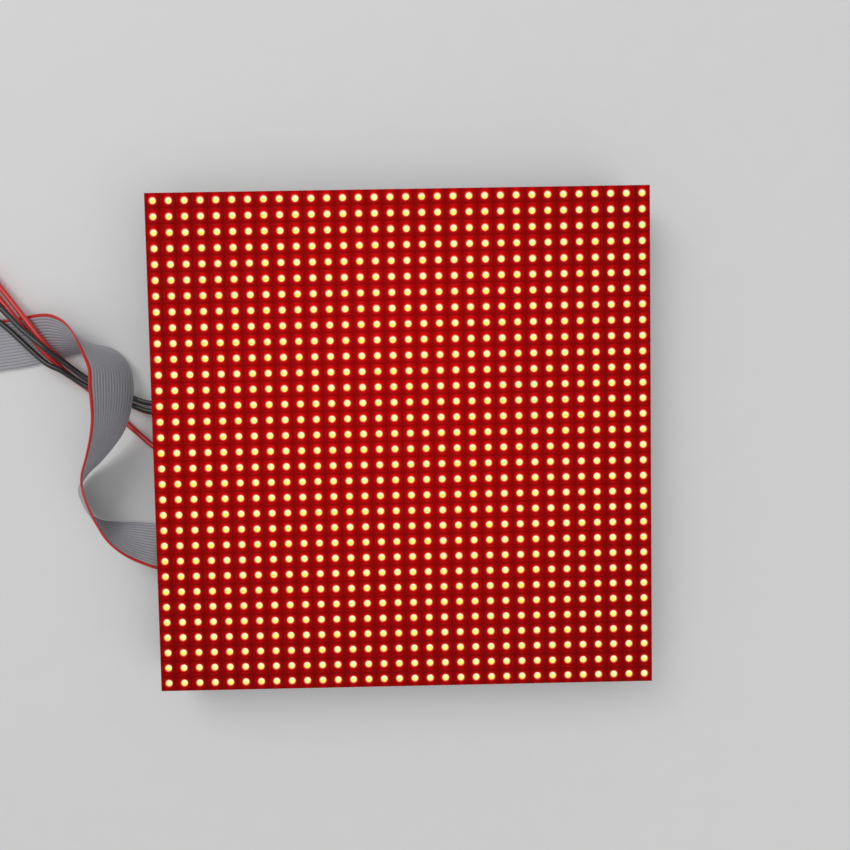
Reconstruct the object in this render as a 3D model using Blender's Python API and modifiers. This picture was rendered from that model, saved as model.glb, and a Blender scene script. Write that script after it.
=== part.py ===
"""Indoor RGB LED matrix module, 32 x 32 pixels, lying face up with its data and power leads.

Metres, +Z up. The origin is under the middle of the module, on the surface that it lies on.
+Z is the way the LEDs shine, and +X points away from the side that the leads leave by.
"""

import math

import bmesh
import bpy
from mathutils import Matrix, Vector

MM = 0.001
SHARP_ANGLE = math.radians(35)

# Display grid
PIXELS = 32
PITCH = 6.0 * MM
WINDOW = 4.0 * MM
OUTER_RIM = 0.5 * MM

# Stack, from the table up
FRAME_DEPTH = 15.6 * MM
BOARD_THICKNESS = 1.6 * MM
LED_HEIGHT = 1.9 * MM
LED_RECESS = 1.2 * MM
CLEARANCE = 0.3 * MM
OVERSHOOT = 2.0 * MM

# LED board
BOARD_INSET = 0.3 * MM
LED_WIDTH = 3.4 * MM
LED_LENGTH = 3.4 * MM

# Mask
TIE_EVERY = 4
TIE_INSET = 0.15 * MM
MASK_BOSS_RADIUS = 1.7 * MM

# Rear frame
WALL = 2.0 * MM
WEB = 2.0 * MM
RIB = 2.4 * MM
RIB_SETBACK = 2.0 * MM
CORNER_RADIUS = 1.2 * MM
BAY_MARGIN = 4.0 * MM
BAY_LEDGE = 2.25 * MM
BAY_CORNER = 6.0 * MM
POST_RADIUS = 3.75 * MM
POST_LINE = 14
BOSS_RADIUS = 4.0 * MM
BOSS_LINE = 7
GUSSET = 1.8 * MM
LOCATING_PIN_RADIUS = 1.2 * MM
LOCATING_PIN_LINE = 10
LOCATING_PIN_HEIGHT = 1.4 * MM

# Self-tapping screws
SCREW_RADIUS = 0.9 * MM
SCREW_HEAD_RADIUS = 1.9 * MM
SCREW_HEAD_HEIGHT = 1.3 * MM
SCREW_POINT = 1.2 * MM
SCREW_HEAD_DOME = 0.55 * MM
POST_FLOOR = 6.6 * MM
SCREW_BITE = 1.0 * MM
THREAD_CLEARANCE = 0.2 * MM

# Thread inserts
INSERT_RADIUS = 2.3 * MM
INSERT_BORE = 1.25 * MM
INSERT_LENGTH = 5.0 * MM
INSERT_GROOVE = 0.4 * MM

# Chips: length, width, height
STANDOFF = 0.3 * MM
DRAUGHT = 0.25 * MM
DRIVER = (8.7 * MM, 3.9 * MM, 1.5 * MM)
BUFFER = (12.8 * MM, 7.5 * MM, 2.2 * MM)
DECODER = (9.9 * MM, 3.9 * MM, 1.5 * MM)
SWITCH = (4.9 * MM, 3.9 * MM, 1.5 * MM)
DRIVERS_PER_BAY = 3
DRIVER_SIDE_GAP = 5.6 * MM
DRIVER_EDGE_GAP = 10.0 * MM
SWITCHES_PER_BAY = 4
SWITCH_SIDE_GAP = 3.5 * MM
SWITCH_SPACING = 7.1 * MM
SWITCH_EDGE_GAP = 4.0 * MM
BUFFER_GAP = 10.8 * MM
BUFFER_SPACING = 7.2 * MM
DECODER_GAP = 14.3 * MM

# Capacitors
CAPACITOR_RADIUS = 3.15 * MM
CAPACITOR_HEIGHT = 7.7 * MM
CAPACITOR_BASE = 1.2 * MM
CAPACITOR_WAIST = 0.25 * MM
CAPACITOR_GAP = 4.0 * MM
CAPACITOR_SPACING = 3.0 * MM

# Data headers
PIN_PITCH = 2.54 * MM
PINS_PER_ROW = 8
PIN_SIDE = 0.64 * MM
PIN_LENGTH = 5.6 * MM
HEADER_WALL = 1.25 * MM
HEADER_WIDTH = 8.9 * MM
HEADER_HEIGHT = 8.8 * MM
HEADER_END_ROOM = 3.2 * MM
HEADER_DEPTH = 6.4 * MM
HEADER_KEY = 4.5 * MM
HEADER_KEY_LIP = 0.3 * MM
HEADER_EDGE_GAP = 1.55 * MM
HEADER_ROW = -42.0 * MM

# Data plugs
PLUG_HEIGHT = 11.3 * MM
PLUG_SIDE_ROOM = 0.2 * MM
PLUG_COVER = 2.6 * MM
PLUG_LATCH = 0.7 * MM
PLUG_LATCH_STANDS = 0.18 * MM
PLUG_COVER_INSET = 0.35 * MM

# Power socket and plug
POWER_PITCH = 3.96 * MM
POWER_WAYS = 4
POWER_END_ROOM = 1.9 * MM
SOCKET_FACE = -33.0 * MM
SOCKET_LENGTH = 8.0 * MM
SOCKET_HEIGHT = 8.6 * MM
SOCKET_ROW = 18.0 * MM
SOCKET_LIP = 1.0 * MM
SOCKET_BACK = 2.0 * MM
POWER_PLUG_LENGTH = 14.0 * MM
POWER_PLUG_HEIGHT = 7.2 * MM
POWER_PLUG_STEP = 1.0 * MM

# Cable notches in the side walls
DATA_NOTCH_MARGIN = 1.2 * MM
POWER_NOTCH = (-4.0 * MM, 22.5 * MM)
POWER_NOTCH_HEIGHT = 10.0 * MM

# Ribbon cable: matching points of its plain edge and its striped edge, in millimetres
RIBBON_WIDTH = 20.3 * MM
RIBBON_THICKNESS = 0.9 * MM
RIBBON_STEPS = 2
PLAIN_EDGE = (
    (-75.3, -31.9, 4.6), (-85.0, -32.2, 3.4), (-94.0, -32.8, 2.4), (-103.5, -33.4, 1.6),
    (-111.2, -32.9, 1.1), (-118.8, -32.7, 0.9), (-126.7, -31.6, 0.9), (-131.5, -28.2, 0.9),
    (-134.2, -22.4, 0.9), (-134.7, -17.9, 0.9), (-130.6, -12.1, 1.5), (-124.6, -7.1, 2.8),
    (-118.4, -1.0, 4.3), (-113.2, 5.5, 5.5), (-110.0, 13.6, 6.1), (-108.7, 22.5, 5.9),
    (-110.5, 30.7, 3.8), (-115.9, 37.4, 2.2), (-123.6, 40.0, 1.3), (-131.3, 37.7, 0.9),
    (-139.5, 35.8, 0.9), (-146.1, 34.3, 0.9), (-153.6, 32.6, 0.9), (-163.0, 31.3, 0.9),
    (-185.0, 28.8, 0.9), (-215.0, 26.3, 0.9), (-245.0, 24.9, 1.6), (-270.0, 24.4, 2.9),
)
STRIPED_EDGE = (
    (-75.3, -52.1, 4.6), (-84.6, -52.4, 6.8), (-92.0, -51.9, 9.8), (-99.2, -49.3, 13.2),
    (-104.7, -46.8, 14.3), (-110.5, -42.6, 16.5), (-115.9, -37.2, 17.1), (-119.6, -30.9, 17.1),
    (-122.6, -24.1, 17.4), (-124.3, -16.9, 18.2), (-123.3, -10.8, 20.4), (-120.4, -3.8, 22.3),
    (-117.8, 3.5, 24.0), (-116.4, 10.3, 24.7), (-116.3, 17.0, 24.4), (-116.9, 23.4, 23.5),
    (-118.2, 29.9, 22.6), (-120.3, 35.2, 21.9), (-122.5, 40.6, 21.5), (-126.8, 46.2, 18.7),
    (-133.4, 50.4, 13.5), (-142.0, 52.9, 7.9), (-152.0, 52.6, 3.4), (-161.6, 51.5, 2.4),
    (-184.0, 49.1, 1.1), (-214.4, 46.6, 0.9), (-244.7, 45.2, 1.6), (-270.0, 44.7, 2.9),
)

# Power wires: points along each centre line, in millimetres
WIRE_RADIUS = 1.1 * MM
WIRE_STATIONS = 32
WIRE_ROUTES = {
    "red_wire_1": (
        (-47.3, 12.06, 11.3), (-62.0, 11.5, 10.8), (-78.0, 9.0, 8.0), (-91.2, 4.2, 5.2),
        (-96.6, -1.2, 4.2), (-99.8, -2.5, 3.6), (-102.9, -1.0, 3.1), (-108.2, 3.5, 2.4),
        (-113.6, 8.1, 1.5), (-121.2, 16.0, 1.3), (-129.0, 22.5, 1.3), (-134.8, 27.1, 1.8),
        (-138.9, 31.4, 3.2), (-144.8, 38.1, 4.9), (-154.4, 50.4, 5.3), (-161.0, 58.3, 4.1),
        (-174.0, 72.8, 2.2), (-193.0, 86.0, 1.4), (-220.0, 95.0, 1.3), (-250.0, 98.4, 1.8),
        (-274.7, 98.7, 2.7),
    ),
    "red_wire_2": (
        (-47.3, 16.02, 11.3), (-62.0, 15.6, 10.3), (-78.0, 14.0, 6.3), (-91.0, 13.0, 2.8),
        (-103.5, 12.6, 1.3), (-110.8, 15.3, 1.3), (-119.4, 20.5, 1.3), (-128.4, 26.1, 1.3),
        (-134.0, 30.3, 1.9), (-137.9, 34.5, 4.0), (-143.3, 41.3, 6.7), (-151.9, 52.4, 5.9),
        (-158.5, 60.2, 4.2), (-172.0, 76.0, 2.4), (-191.0, 89.5, 1.5), (-219.0, 98.5, 1.3),
        (-250.0, 101.5, 1.8), (-274.7, 101.3, 2.7),
    ),
    "black_wire_1": (
        (-47.3, 23.94, 11.3), (-62.0, 23.4, 11.0), (-78.0, 20.4, 9.0), (-91.0, 16.3, 6.6),
        (-102.2, 16.3, 4.6), (-109.7, 18.5, 3.8), (-118.2, 22.5, 3.7), (-127.3, 26.3, 3.9),
        (-132.8, 30.5, 4.8), (-136.7, 34.2, 7.0), (-142.0, 39.1, 9.2), (-151.2, 46.8, 8.3),
        (-157.3, 52.8, 7.1), (-164.0, 58.8, 5.9), (-177.0, 67.5, 2.4), (-197.0, 75.5, 1.4),
        (-225.0, 80.6, 1.3), (-262.0, 82.4, 1.8), (-292.0, 82.3, 2.7),
    ),
    "black_wire_2": (
        (-47.3, 19.98, 11.3), (-62.0, 19.4, 11.0), (-78.0, 16.6, 8.6), (-91.0, 12.8, 5.8),
        (-102.4, 12.9, 3.9), (-110.1, 15.45, 3.8), (-118.3, 19.6, 3.8), (-127.4, 23.1, 3.9),
        (-133.3, 26.9, 4.4), (-137.4, 30.1, 5.8), (-143.7, 33.6, 6.2), (-153.8, 42.8, 5.2),
        (-159.0, 47.6, 4.6), (-164.5, 52.0, 4.3), (-171.0, 56.9, 3.2), (-182.0, 64.0, 1.8),
        (-200.0, 71.3, 1.3), (-225.0, 77.0, 1.3), (-262.0, 79.8, 1.8), (-292.0, 79.7, 2.7),
    ),
}

# Fork terminals
SLEEVE_LENGTH = 11.0 * MM
SLEEVE_WIDTH = 6.4 * MM
SLEEVE_HEIGHT = 4.4 * MM
SLEEVE_ROUNDING = 1.3 * MM
TONGUE_LENGTH = 12.0 * MM
TONGUE_WIDTH = 8.4 * MM
TONGUE_THICKNESS = 0.8 * MM
TONGUE_SLOT = 4.3 * MM

# Levels and outlines that follow from the sizes above
PANEL = PIXELS * PITCH - (PITCH - WINDOW) + 2 * OUTER_RIM
HALF = PANEL / 2
BOARD_BOTTOM = FRAME_DEPTH + CLEARANCE
BOARD_TOP = BOARD_BOTTOM + BOARD_THICKNESS
LED_TOP = BOARD_TOP + LED_HEIGHT
MASK_BOTTOM = BOARD_TOP + CLEARANCE
LOUVRE_BOTTOM = LED_TOP + CLEARANCE
RIB_TOP = LOUVRE_BOTTOM - CLEARANCE
MASK_TOP = LED_TOP + LED_RECESS
BAR = PITCH - WINDOW
TIE_WIDTH = BAR - 2 * TIE_INSET
WEB_BOTTOM = FRAME_DEPTH - WEB
POST_PLACE = POST_LINE * PITCH
BOSS_PLACE = BOSS_LINE * PITCH
PIN_PLACE = LOCATING_PIN_LINE * PITCH
BAY_NEAR = BOSS_RADIUS + BAY_MARGIN
BAY_FAR = POST_PLACE - POST_RADIUS - BAY_LEDGE
SCREW_SEAT = FRAME_DEPTH - POST_FLOOR
SCREW_TIP = BOARD_TOP + SCREW_BITE
PARTS_DOWN = BOARD_BOTTOM - STANDOFF
HEADER_LENGTH = (PINS_PER_ROW - 1) * PIN_PITCH + 2 * (HEADER_END_ROOM + HEADER_WALL)
HEADER_MOUTH = PARTS_DOWN - HEADER_HEIGHT
HEADER_FLOOR = HEADER_MOUTH + HEADER_DEPTH
HEADER_COLUMN = BAY_FAR - HEADER_EDGE_GAP - HEADER_WIDTH / 2
PLUG_LENGTH = HEADER_LENGTH - 2 * (HEADER_WALL + PLUG_SIDE_ROOM)
PLUG_WIDTH = HEADER_WIDTH - 2 * (HEADER_WALL + PLUG_SIDE_ROOM)
SOCKET_WIDTH = (POWER_WAYS - 1) * POWER_PITCH + 2 * POWER_END_ROOM
DRIVER_FIRST = BAY_NEAR + DRIVER_SIDE_GAP + DRIVER[0] / 2
DRIVER_LAST = BAY_FAR - DRIVER_SIDE_GAP - DRIVER[0] / 2
DRIVER_STEP = (DRIVER_LAST - DRIVER_FIRST) / (DRIVERS_PER_BAY - 1)
DRIVER_ROW = BAY_FAR - DRIVER_EDGE_GAP - DRIVER[1] / 2
SWITCH_FIRST = BAY_NEAR + SWITCH_SIDE_GAP + SWITCH[0] / 2
SWITCH_STEP = SWITCH[0] + SWITCH_SPACING
SWITCH_ROW = BAY_NEAR + SWITCH_EDGE_GAP + SWITCH[1] / 2
BUFFER_COLUMN = HEADER_COLUMN - HEADER_WIDTH / 2 - BUFFER_GAP - BUFFER[1] / 2
BUFFER_SHIFT = (BUFFER[0] + BUFFER_SPACING) / 2
DECODER_COLUMN = BUFFER_COLUMN - BUFFER[1] / 2 - DECODER_GAP - DECODER[0] / 2
CAPACITOR_COLUMN = SOCKET_FACE + SOCKET_LENGTH + CAPACITOR_GAP + CAPACITOR_RADIUS
CAPACITOR_SHIFT = CAPACITOR_RADIUS + CAPACITOR_SPACING / 2
SCREW_PLACES = [(x, y) for x in (-POST_PLACE, 0, POST_PLACE) for y in (-POST_PLACE, 0, POST_PLACE)]
INSERT_PLACES = [(x, y) for x in (-BOSS_PLACE, BOSS_PLACE) for y in (-POST_PLACE, POST_PLACE)]
INSERT_PLACES += [(0, -BOSS_PLACE), (0, BOSS_PLACE)]
PIN_PLACES = [(-PIN_PLACE, POST_PLACE), (PIN_PLACE, -POST_PLACE)]

parts = bpy.data.collections.new("rgb_led_matrix_panel")
cutters = bpy.data.collections.new("cutters")


def clear_scene():
    for old in list(bpy.data.objects):
        bpy.data.objects.remove(old, do_unlink=True)
    for collection in (parts, cutters):
        bpy.context.scene.collection.children.link(collection)


def material(name, color, roughness, metallic=0.0, glow=0.0):
    made = bpy.data.materials.new(name)
    made.use_nodes = True
    shader = made.node_tree.nodes["Principled BSDF"]
    shader.inputs["Base Color"].default_value = (*color, 1.0)
    shader.inputs["Roughness"].default_value = roughness
    shader.inputs["Metallic"].default_value = metallic
    shader.inputs["Emission Color"].default_value = (*color, 1.0)
    shader.inputs["Emission Strength"].default_value = glow
    return made


def add_object(name, bm, finish=None, place=(0, 0, 0)):
    """A part when it has a finish, and a cutter or guide when it has none."""
    mesh = bpy.data.meshes.new(name)
    bmesh.ops.recalc_face_normals(bm, faces=bm.faces)
    bm.to_mesh(mesh)
    bm.free()
    made = bpy.data.objects.new(name, mesh)
    made.location = place
    if finish:
        mesh.materials.append(finish)
        parts.objects.link(made)
    else:
        made.hide_render = True
        made.display_type = "WIRE"
        cutters.objects.link(made)
    return made


def add_box(bm, low, high):
    """A box between two opposite corners."""
    low, high = Vector(low), Vector(high)
    size = Matrix.Diagonal((*(high - low), 1.0))
    bmesh.ops.create_cube(bm, size=1.0, matrix=Matrix.Translation((low + high) / 2) @ size)


def add_cylinder(bm, centre, radius, bottom, top, sides=16):
    """An upright cylinder round a point of the XY plane."""
    x, y = centre
    middle = Matrix.Translation((x, y, (bottom + top) / 2))
    bmesh.ops.create_cone(
        bm, cap_ends=True, segments=sides, radius1=radius, radius2=radius,
        depth=top - bottom, matrix=middle,
    )


def rounded_plate(bm, half_x, half_y, radius, bottom, top, centre=(0, 0), steps=4):
    """An upright prism whose outline is a rectangle with round corners."""
    outline = []
    for corner, (sx, sy) in enumerate(((1, 1), (-1, 1), (-1, -1), (1, -1))):
        for step in range(steps + 1):
            angle = math.pi / 2 * (corner + step / steps)
            x = sx * (half_x - radius) + radius * math.cos(angle)
            y = sy * (half_y - radius) + radius * math.sin(angle)
            outline.append((centre[0] + x, centre[1] + y))
    floor = bm.faces.new([bm.verts.new((x, y, bottom)) for x, y in outline])
    raised = bmesh.ops.extrude_face_region(bm, geom=[floor])["geom"]
    lifted = [item for item in raised if isinstance(item, bmesh.types.BMVert)]
    bmesh.ops.translate(bm, verts=lifted, vec=(0, 0, top - bottom))


def combine(target, name, bm, operation):
    """Boolean with a guide; the guide's own shapes may overlap each other."""
    guide = add_object(name, bm)
    cut = target.modifiers.new(name, "BOOLEAN")
    cut.operation = operation
    cut.object = guide
    cut.solver = "EXACT"
    cut.use_self = True
    return cut


def turned(name, profile, finish, place, sides=12, closed=False):
    """A Screw modifier turns an outline of (radius, height) points round Z."""
    bm = bmesh.new()
    points = [bm.verts.new((radius, 0, height)) for radius, height in profile]
    for first, second in zip(points, points[1:]):
        bm.edges.new((first, second))
    if closed:
        bm.edges.new((points[-1], points[0]))
    made = add_object(name, bm, finish, place)
    spin = made.modifiers.new("turn", "SCREW")
    spin.steps = sides
    spin.render_steps = sides
    spin.use_merge_vertices = True
    spin.merge_threshold = 0.01 * MM
    settled = made.evaluated_get(bpy.context.evaluated_depsgraph_get())
    round_mesh = bpy.data.meshes.new_from_object(settled)
    made.modifiers.clear()
    made.data = round_mesh
    round_mesh.shade_smooth()
    round_mesh.set_sharp_from_angle(angle=SHARP_ANGLE)


def smooth_curve(points, steps):
    """Points in metres on a Catmull-Rom curve, with the same number of steps in each span."""
    knots = [Vector(point) * MM for point in points]
    knots = [2 * knots[0] - knots[1]] + knots + [2 * knots[-1] - knots[-2]]
    fine = []
    for before, start, end, after in zip(knots, knots[1:], knots[2:], knots[3:]):
        for step in range(steps):
            t = step / steps
            fine.append(
                0.5 * (2 * start + (end - before) * t
                       + (2 * before - 5 * start + 4 * end - after) * t * t
                       + (3 * start - before - 3 * end + after) * t * t * t)
            )
    fine.append(knots[-2])
    return fine


def smooth_route(points, count):
    """Evenly spaced points on the smooth curve."""
    fine = smooth_curve(points, 12)
    reach = [0.0]
    for first, second in zip(fine, fine[1:]):
        reach.append(reach[-1] + (second - first).length)
    route, place = [], 0
    for index in range(count):
        wanted = reach[-1] * index / (count - 1)
        while place < len(fine) - 2 and reach[place + 1] < wanted:
            place += 1
        span = reach[place + 1] - reach[place]
        route.append(fine[place].lerp(fine[place + 1], min(1.0, (wanted - reach[place]) / span)))
    return route


def grid_lines():
    """The lines between neighbouring pixels, from one side to the other."""
    return [(index - PIXELS / 2) * PITCH for index in range(1, PIXELS)]


# Mask: louvres along X in front of ribs along Y, in one frame
def build_mask(finish):
    bm = bmesh.new()
    add_box(bm, (-HALF, -HALF, MASK_BOTTOM), (HALF, HALF, MASK_TOP))
    mask = add_object("mask", bm, finish)
    inside = HALF - OUTER_RIM
    bm = bmesh.new()
    add_box(bm, (-inside, -inside, MASK_BOTTOM - OVERSHOOT), (inside, inside, MASK_TOP + OVERSHOOT))
    combine(mask, "mask_opening", bm, "DIFFERENCE")
    reach = HALF - OUTER_RIM / 2
    bm = bmesh.new()
    for line in grid_lines():
        add_box(bm, (-reach, line - BAR / 2, LOUVRE_BOTTOM), (reach, line + BAR / 2, MASK_TOP))
        add_box(bm, (line - BAR / 2, -reach, MASK_BOTTOM), (line + BAR / 2, reach, RIB_TOP))
    tied = grid_lines()[TIE_EVERY - 1::TIE_EVERY]
    tie_low = (MASK_BOTTOM + RIB_TOP) / 2
    tie_high = (LOUVRE_BOTTOM + MASK_TOP) / 2
    for x in tied:
        for y in tied:
            add_box(bm, (x - TIE_WIDTH / 2, y - TIE_WIDTH / 2, tie_low),
                    (x + TIE_WIDTH / 2, y + TIE_WIDTH / 2, tie_high))
    for place in SCREW_PLACES:
        add_cylinder(bm, place, MASK_BOSS_RADIUS, BOARD_BOTTOM, tie_high)
    combine(mask, "mask_bars", bm, "UNION")
    bm = bmesh.new()
    for place in SCREW_PLACES:
        add_cylinder(bm, place, SCREW_RADIUS + THREAD_CLEARANCE, 0, SCREW_TIP + CLEARANCE)
    combine(mask, "mask_boss_bores", bm, "DIFFERENCE")
    return mask


# LED board: each column of LED packages is one ridge of the board
def build_board(finish):
    edge = HALF - BOARD_INSET
    bm = bmesh.new()
    add_box(bm, (-edge, -edge, BOARD_BOTTOM), (edge, edge, BOARD_TOP))
    board = add_object("led_board", bm, finish)
    reach = (PIXELS - 1) / 2 * PITCH + LED_LENGTH / 2
    bm = bmesh.new()
    for column in range(PIXELS):
        x = (column - (PIXELS - 1) / 2) * PITCH
        add_box(bm, (x - LED_WIDTH / 2, -reach, (BOARD_BOTTOM + BOARD_TOP) / 2),
                (x + LED_WIDTH / 2, reach, LED_TOP))
    combine(board, "led_columns", bm, "UNION")
    bm = bmesh.new()
    for place in SCREW_PLACES:
        add_cylinder(bm, place, MASK_BOSS_RADIUS + CLEARANCE, 0, MASK_TOP)
    for place in PIN_PLACES:
        add_cylinder(bm, place, LOCATING_PIN_RADIUS + CLEARANCE, 0, MASK_TOP)
    combine(board, "board_holes", bm, "DIFFERENCE")
    return board


# Rear frame: wall, web with four bays, cross ribs, posts, bosses and notches
def build_frame(finish):
    bm = bmesh.new()
    rounded_plate(bm, HALF, HALF, CORNER_RADIUS, 0, FRAME_DEPTH)
    frame = add_object("rear_frame", bm, finish)
    inside = HALF - WALL
    bm = bmesh.new()
    rounded_plate(bm, inside, inside, CORNER_RADIUS, -OVERSHOOT, WEB_BOTTOM)
    combine(frame, "frame_hollow", bm, "DIFFERENCE")

    into_wall = inside + WALL / 2
    into_web = WEB_BOTTOM + WEB / 2
    bm = bmesh.new()
    add_box(bm, (-into_wall, -RIB / 2, RIB_SETBACK), (into_wall, RIB / 2, into_web))
    add_box(bm, (-RIB / 2, -into_wall, RIB_SETBACK), (RIB / 2, into_wall, into_web))
    for place in SCREW_PLACES:
        add_cylinder(bm, place, POST_RADIUS, 0, into_web)
    for place in INSERT_PLACES:
        add_cylinder(bm, place, BOSS_RADIUS, 0, into_web)
    for x, y in INSERT_PLACES:
        if x:
            low, high = sorted((y, math.copysign(into_wall, y)))
            add_box(bm, (x - GUSSET / 2, low, RIB_SETBACK), (x + GUSSET / 2, high, into_web))
    for x, y in SCREW_PLACES:
        if x and y:
            low, high = sorted((x, math.copysign(into_wall, x)))
            add_box(bm, (low, y - GUSSET / 2, RIB_SETBACK), (high, y + GUSSET / 2, into_web))
            low, high = sorted((y, math.copysign(into_wall, y)))
            add_box(bm, (x - GUSSET / 2, low, RIB_SETBACK), (x + GUSSET / 2, high, into_web))
    for place in PIN_PLACES:
        add_cylinder(bm, place, LOCATING_PIN_RADIUS, into_web, FRAME_DEPTH + LOCATING_PIN_HEIGHT, 10)
    combine(frame, "frame_ribs", bm, "UNION")

    bm = bmesh.new()
    middle = (BAY_NEAR + BAY_FAR) / 2
    half = (BAY_FAR - BAY_NEAR) / 2
    top = FRAME_DEPTH + OVERSHOOT
    for sx in (-1, 1):
        for sy in (-1, 1):
            rounded_plate(bm, half, half, BAY_CORNER, -OVERSHOOT, top, (sx * middle, sy * middle))
    notch = HEADER_LENGTH / 2 + DATA_NOTCH_MARGIN
    for sx in (-1, 1):
        near, far = sorted((sx * (inside - OVERSHOOT), sx * (HALF + OVERSHOOT)))
        add_box(bm, (near, HEADER_ROW - notch, -OVERSHOOT), (far, HEADER_ROW + notch, WEB_BOTTOM))
        add_box(bm, (near, POWER_NOTCH[0], -OVERSHOOT), (far, POWER_NOTCH[1], POWER_NOTCH_HEIGHT))
    for place in SCREW_PLACES:
        add_cylinder(bm, place, SCREW_HEAD_RADIUS + CLEARANCE, -OVERSHOOT, SCREW_SEAT)
        add_cylinder(bm, place, SCREW_RADIUS + CLEARANCE, -OVERSHOOT, top, 12)
    for place in INSERT_PLACES:
        add_cylinder(bm, place, INSERT_RADIUS + CLEARANCE, -OVERSHOOT, INSERT_LENGTH + 2 * CLEARANCE)
    combine(frame, "frame_cuts", bm, "DIFFERENCE")
    return frame


def build_screws(finish):
    seat = SCREW_SEAT - CLEARANCE
    low = seat - SCREW_HEAD_HEIGHT
    profile = (
        (0, SCREW_TIP), (SCREW_RADIUS, SCREW_TIP - SCREW_POINT), (SCREW_RADIUS, seat),
        (SCREW_HEAD_RADIUS, seat), (SCREW_HEAD_RADIUS, low + SCREW_HEAD_DOME),
        (SCREW_HEAD_RADIUS - SCREW_HEAD_DOME, low), (0, low),
    )
    for number, (x, y) in enumerate(SCREW_PLACES, 1):
        turned(f"screw_{number}", profile, finish, (x, y, 0))


def build_inserts(finish):
    groove = INSERT_RADIUS - INSERT_GROOVE
    third = INSERT_LENGTH / 3
    profile = (
        (INSERT_RADIUS, INSERT_LENGTH), (INSERT_RADIUS, 2 * third), (groove, 2 * third - CLEARANCE),
        (groove, third + CLEARANCE), (INSERT_RADIUS, third), (INSERT_RADIUS, 0),
        (INSERT_BORE, 0), (INSERT_BORE, INSERT_LENGTH),
    )
    for number, (x, y) in enumerate(INSERT_PLACES, 1):
        turned(f"thread_insert_{number}", profile, finish, (x, y, CLEARANCE), closed=True)


def build_chip(name, size, place, finish, upright=False):
    """A moulded package under the board, widest at its parting line."""
    length, width, height = size
    if upright:
        length, width = width, length
    bm = bmesh.new()
    bmesh.ops.create_cube(bm, size=1.0, matrix=Matrix.Diagonal((length, width, height, 1.0)))
    split = bmesh.ops.bisect_plane(bm, geom=bm.verts[:] + bm.edges[:] + bm.faces[:],
                                   plane_co=(0, 0, 0), plane_no=(0, 0, 1))
    middle = {item for item in split["geom_cut"] if isinstance(item, bmesh.types.BMVert)}
    for vert in bm.verts:
        if vert not in middle:
            vert.co.x -= math.copysign(DRAUGHT, vert.co.x)
            vert.co.y -= math.copysign(DRAUGHT, vert.co.y)
    add_object(name, bm, finish, (*place, PARTS_DOWN - height / 2))


def build_chips(finish):
    number = 0
    for y in (-DRIVER_ROW, DRIVER_ROW):
        for side in (-1, 1):
            for step in range(DRIVERS_PER_BAY):
                number += 1
                x = side * (DRIVER_FIRST + step * DRIVER_STEP)
                build_chip(f"led_driver_{number}", DRIVER, (x, y), finish)
    number = 0
    for side in (-1, 1):
        for step in range(SWITCHES_PER_BAY):
            number += 1
            x = side * (SWITCH_FIRST + step * SWITCH_STEP)
            build_chip(f"row_switch_{number}", SWITCH, (x, -SWITCH_ROW), finish)
    number = 0
    for side in (-1, 1):
        for shift in (BUFFER_SHIFT, -BUFFER_SHIFT):
            number += 1
            place = (side * BUFFER_COLUMN, HEADER_ROW + shift)
            build_chip(f"line_buffer_{number}", BUFFER, place, finish, upright=True)
    for number, side in enumerate((-1, 1), 1):
        build_chip(f"row_decoder_{number}", DECODER, (side * DECODER_COLUMN, HEADER_ROW), finish)


def build_capacitors(finish):
    low = PARTS_DOWN - CAPACITOR_HEIGHT
    base = PARTS_DOWN - CAPACITOR_BASE
    neck = CAPACITOR_RADIUS - CAPACITOR_WAIST
    profile = (
        (0, PARTS_DOWN), (CAPACITOR_RADIUS, PARTS_DOWN), (CAPACITOR_RADIUS, base),
        (neck, base - CAPACITOR_WAIST), (CAPACITOR_RADIUS, base - 2 * CAPACITOR_WAIST),
        (CAPACITOR_RADIUS, low + CAPACITOR_WAIST), (neck, low), (0, low),
    )
    for number, shift in enumerate((-CAPACITOR_SHIFT, CAPACITOR_SHIFT), 1):
        place = (CAPACITOR_COLUMN, SOCKET_ROW + shift, 0)
        turned(f"capacitor_{number}", profile, finish, place, 16)


def pin_offsets():
    """Pin centres of a data header, measured from its middle."""
    for row in (-0.5, 0.5):
        for index in range(PINS_PER_ROW):
            yield row * PIN_PITCH, (index - (PINS_PER_ROW - 1) / 2) * PIN_PITCH


def build_header(name, side, finish):
    x = side * HEADER_COLUMN
    y = HEADER_ROW
    half_x, half_y = HEADER_WIDTH / 2, HEADER_LENGTH / 2
    bm = bmesh.new()
    add_box(bm, (x - half_x, y - half_y, HEADER_MOUTH), (x + half_x, y + half_y, PARTS_DOWN))
    header = add_object(name, bm, finish)
    room_x, room_y = half_x - HEADER_WALL, half_y - HEADER_WALL
    bm = bmesh.new()
    mouth = HEADER_MOUTH - OVERSHOOT
    add_box(bm, (x - room_x, y - room_y, mouth), (x + room_x, y + room_y, HEADER_FLOOR))
    inner, outer = sorted((x - side * (room_x - HEADER_KEY_LIP), x - side * (half_x + OVERSHOOT)))
    add_box(bm, (inner, y - HEADER_KEY / 2, mouth),
            (outer, y + HEADER_KEY / 2, HEADER_FLOOR - HEADER_KEY_LIP))
    combine(header, f"{name}_cavity", bm, "DIFFERENCE")
    bm = bmesh.new()
    for dx, dy in pin_offsets():
        add_box(bm, (x + dx - PIN_SIDE / 2, y + dy - PIN_SIDE / 2, HEADER_FLOOR - PIN_LENGTH),
                (x + dx + PIN_SIDE / 2, y + dy + PIN_SIDE / 2, HEADER_FLOOR + PIN_SIDE))
    combine(header, f"{name}_pins", bm, "UNION")


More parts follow.
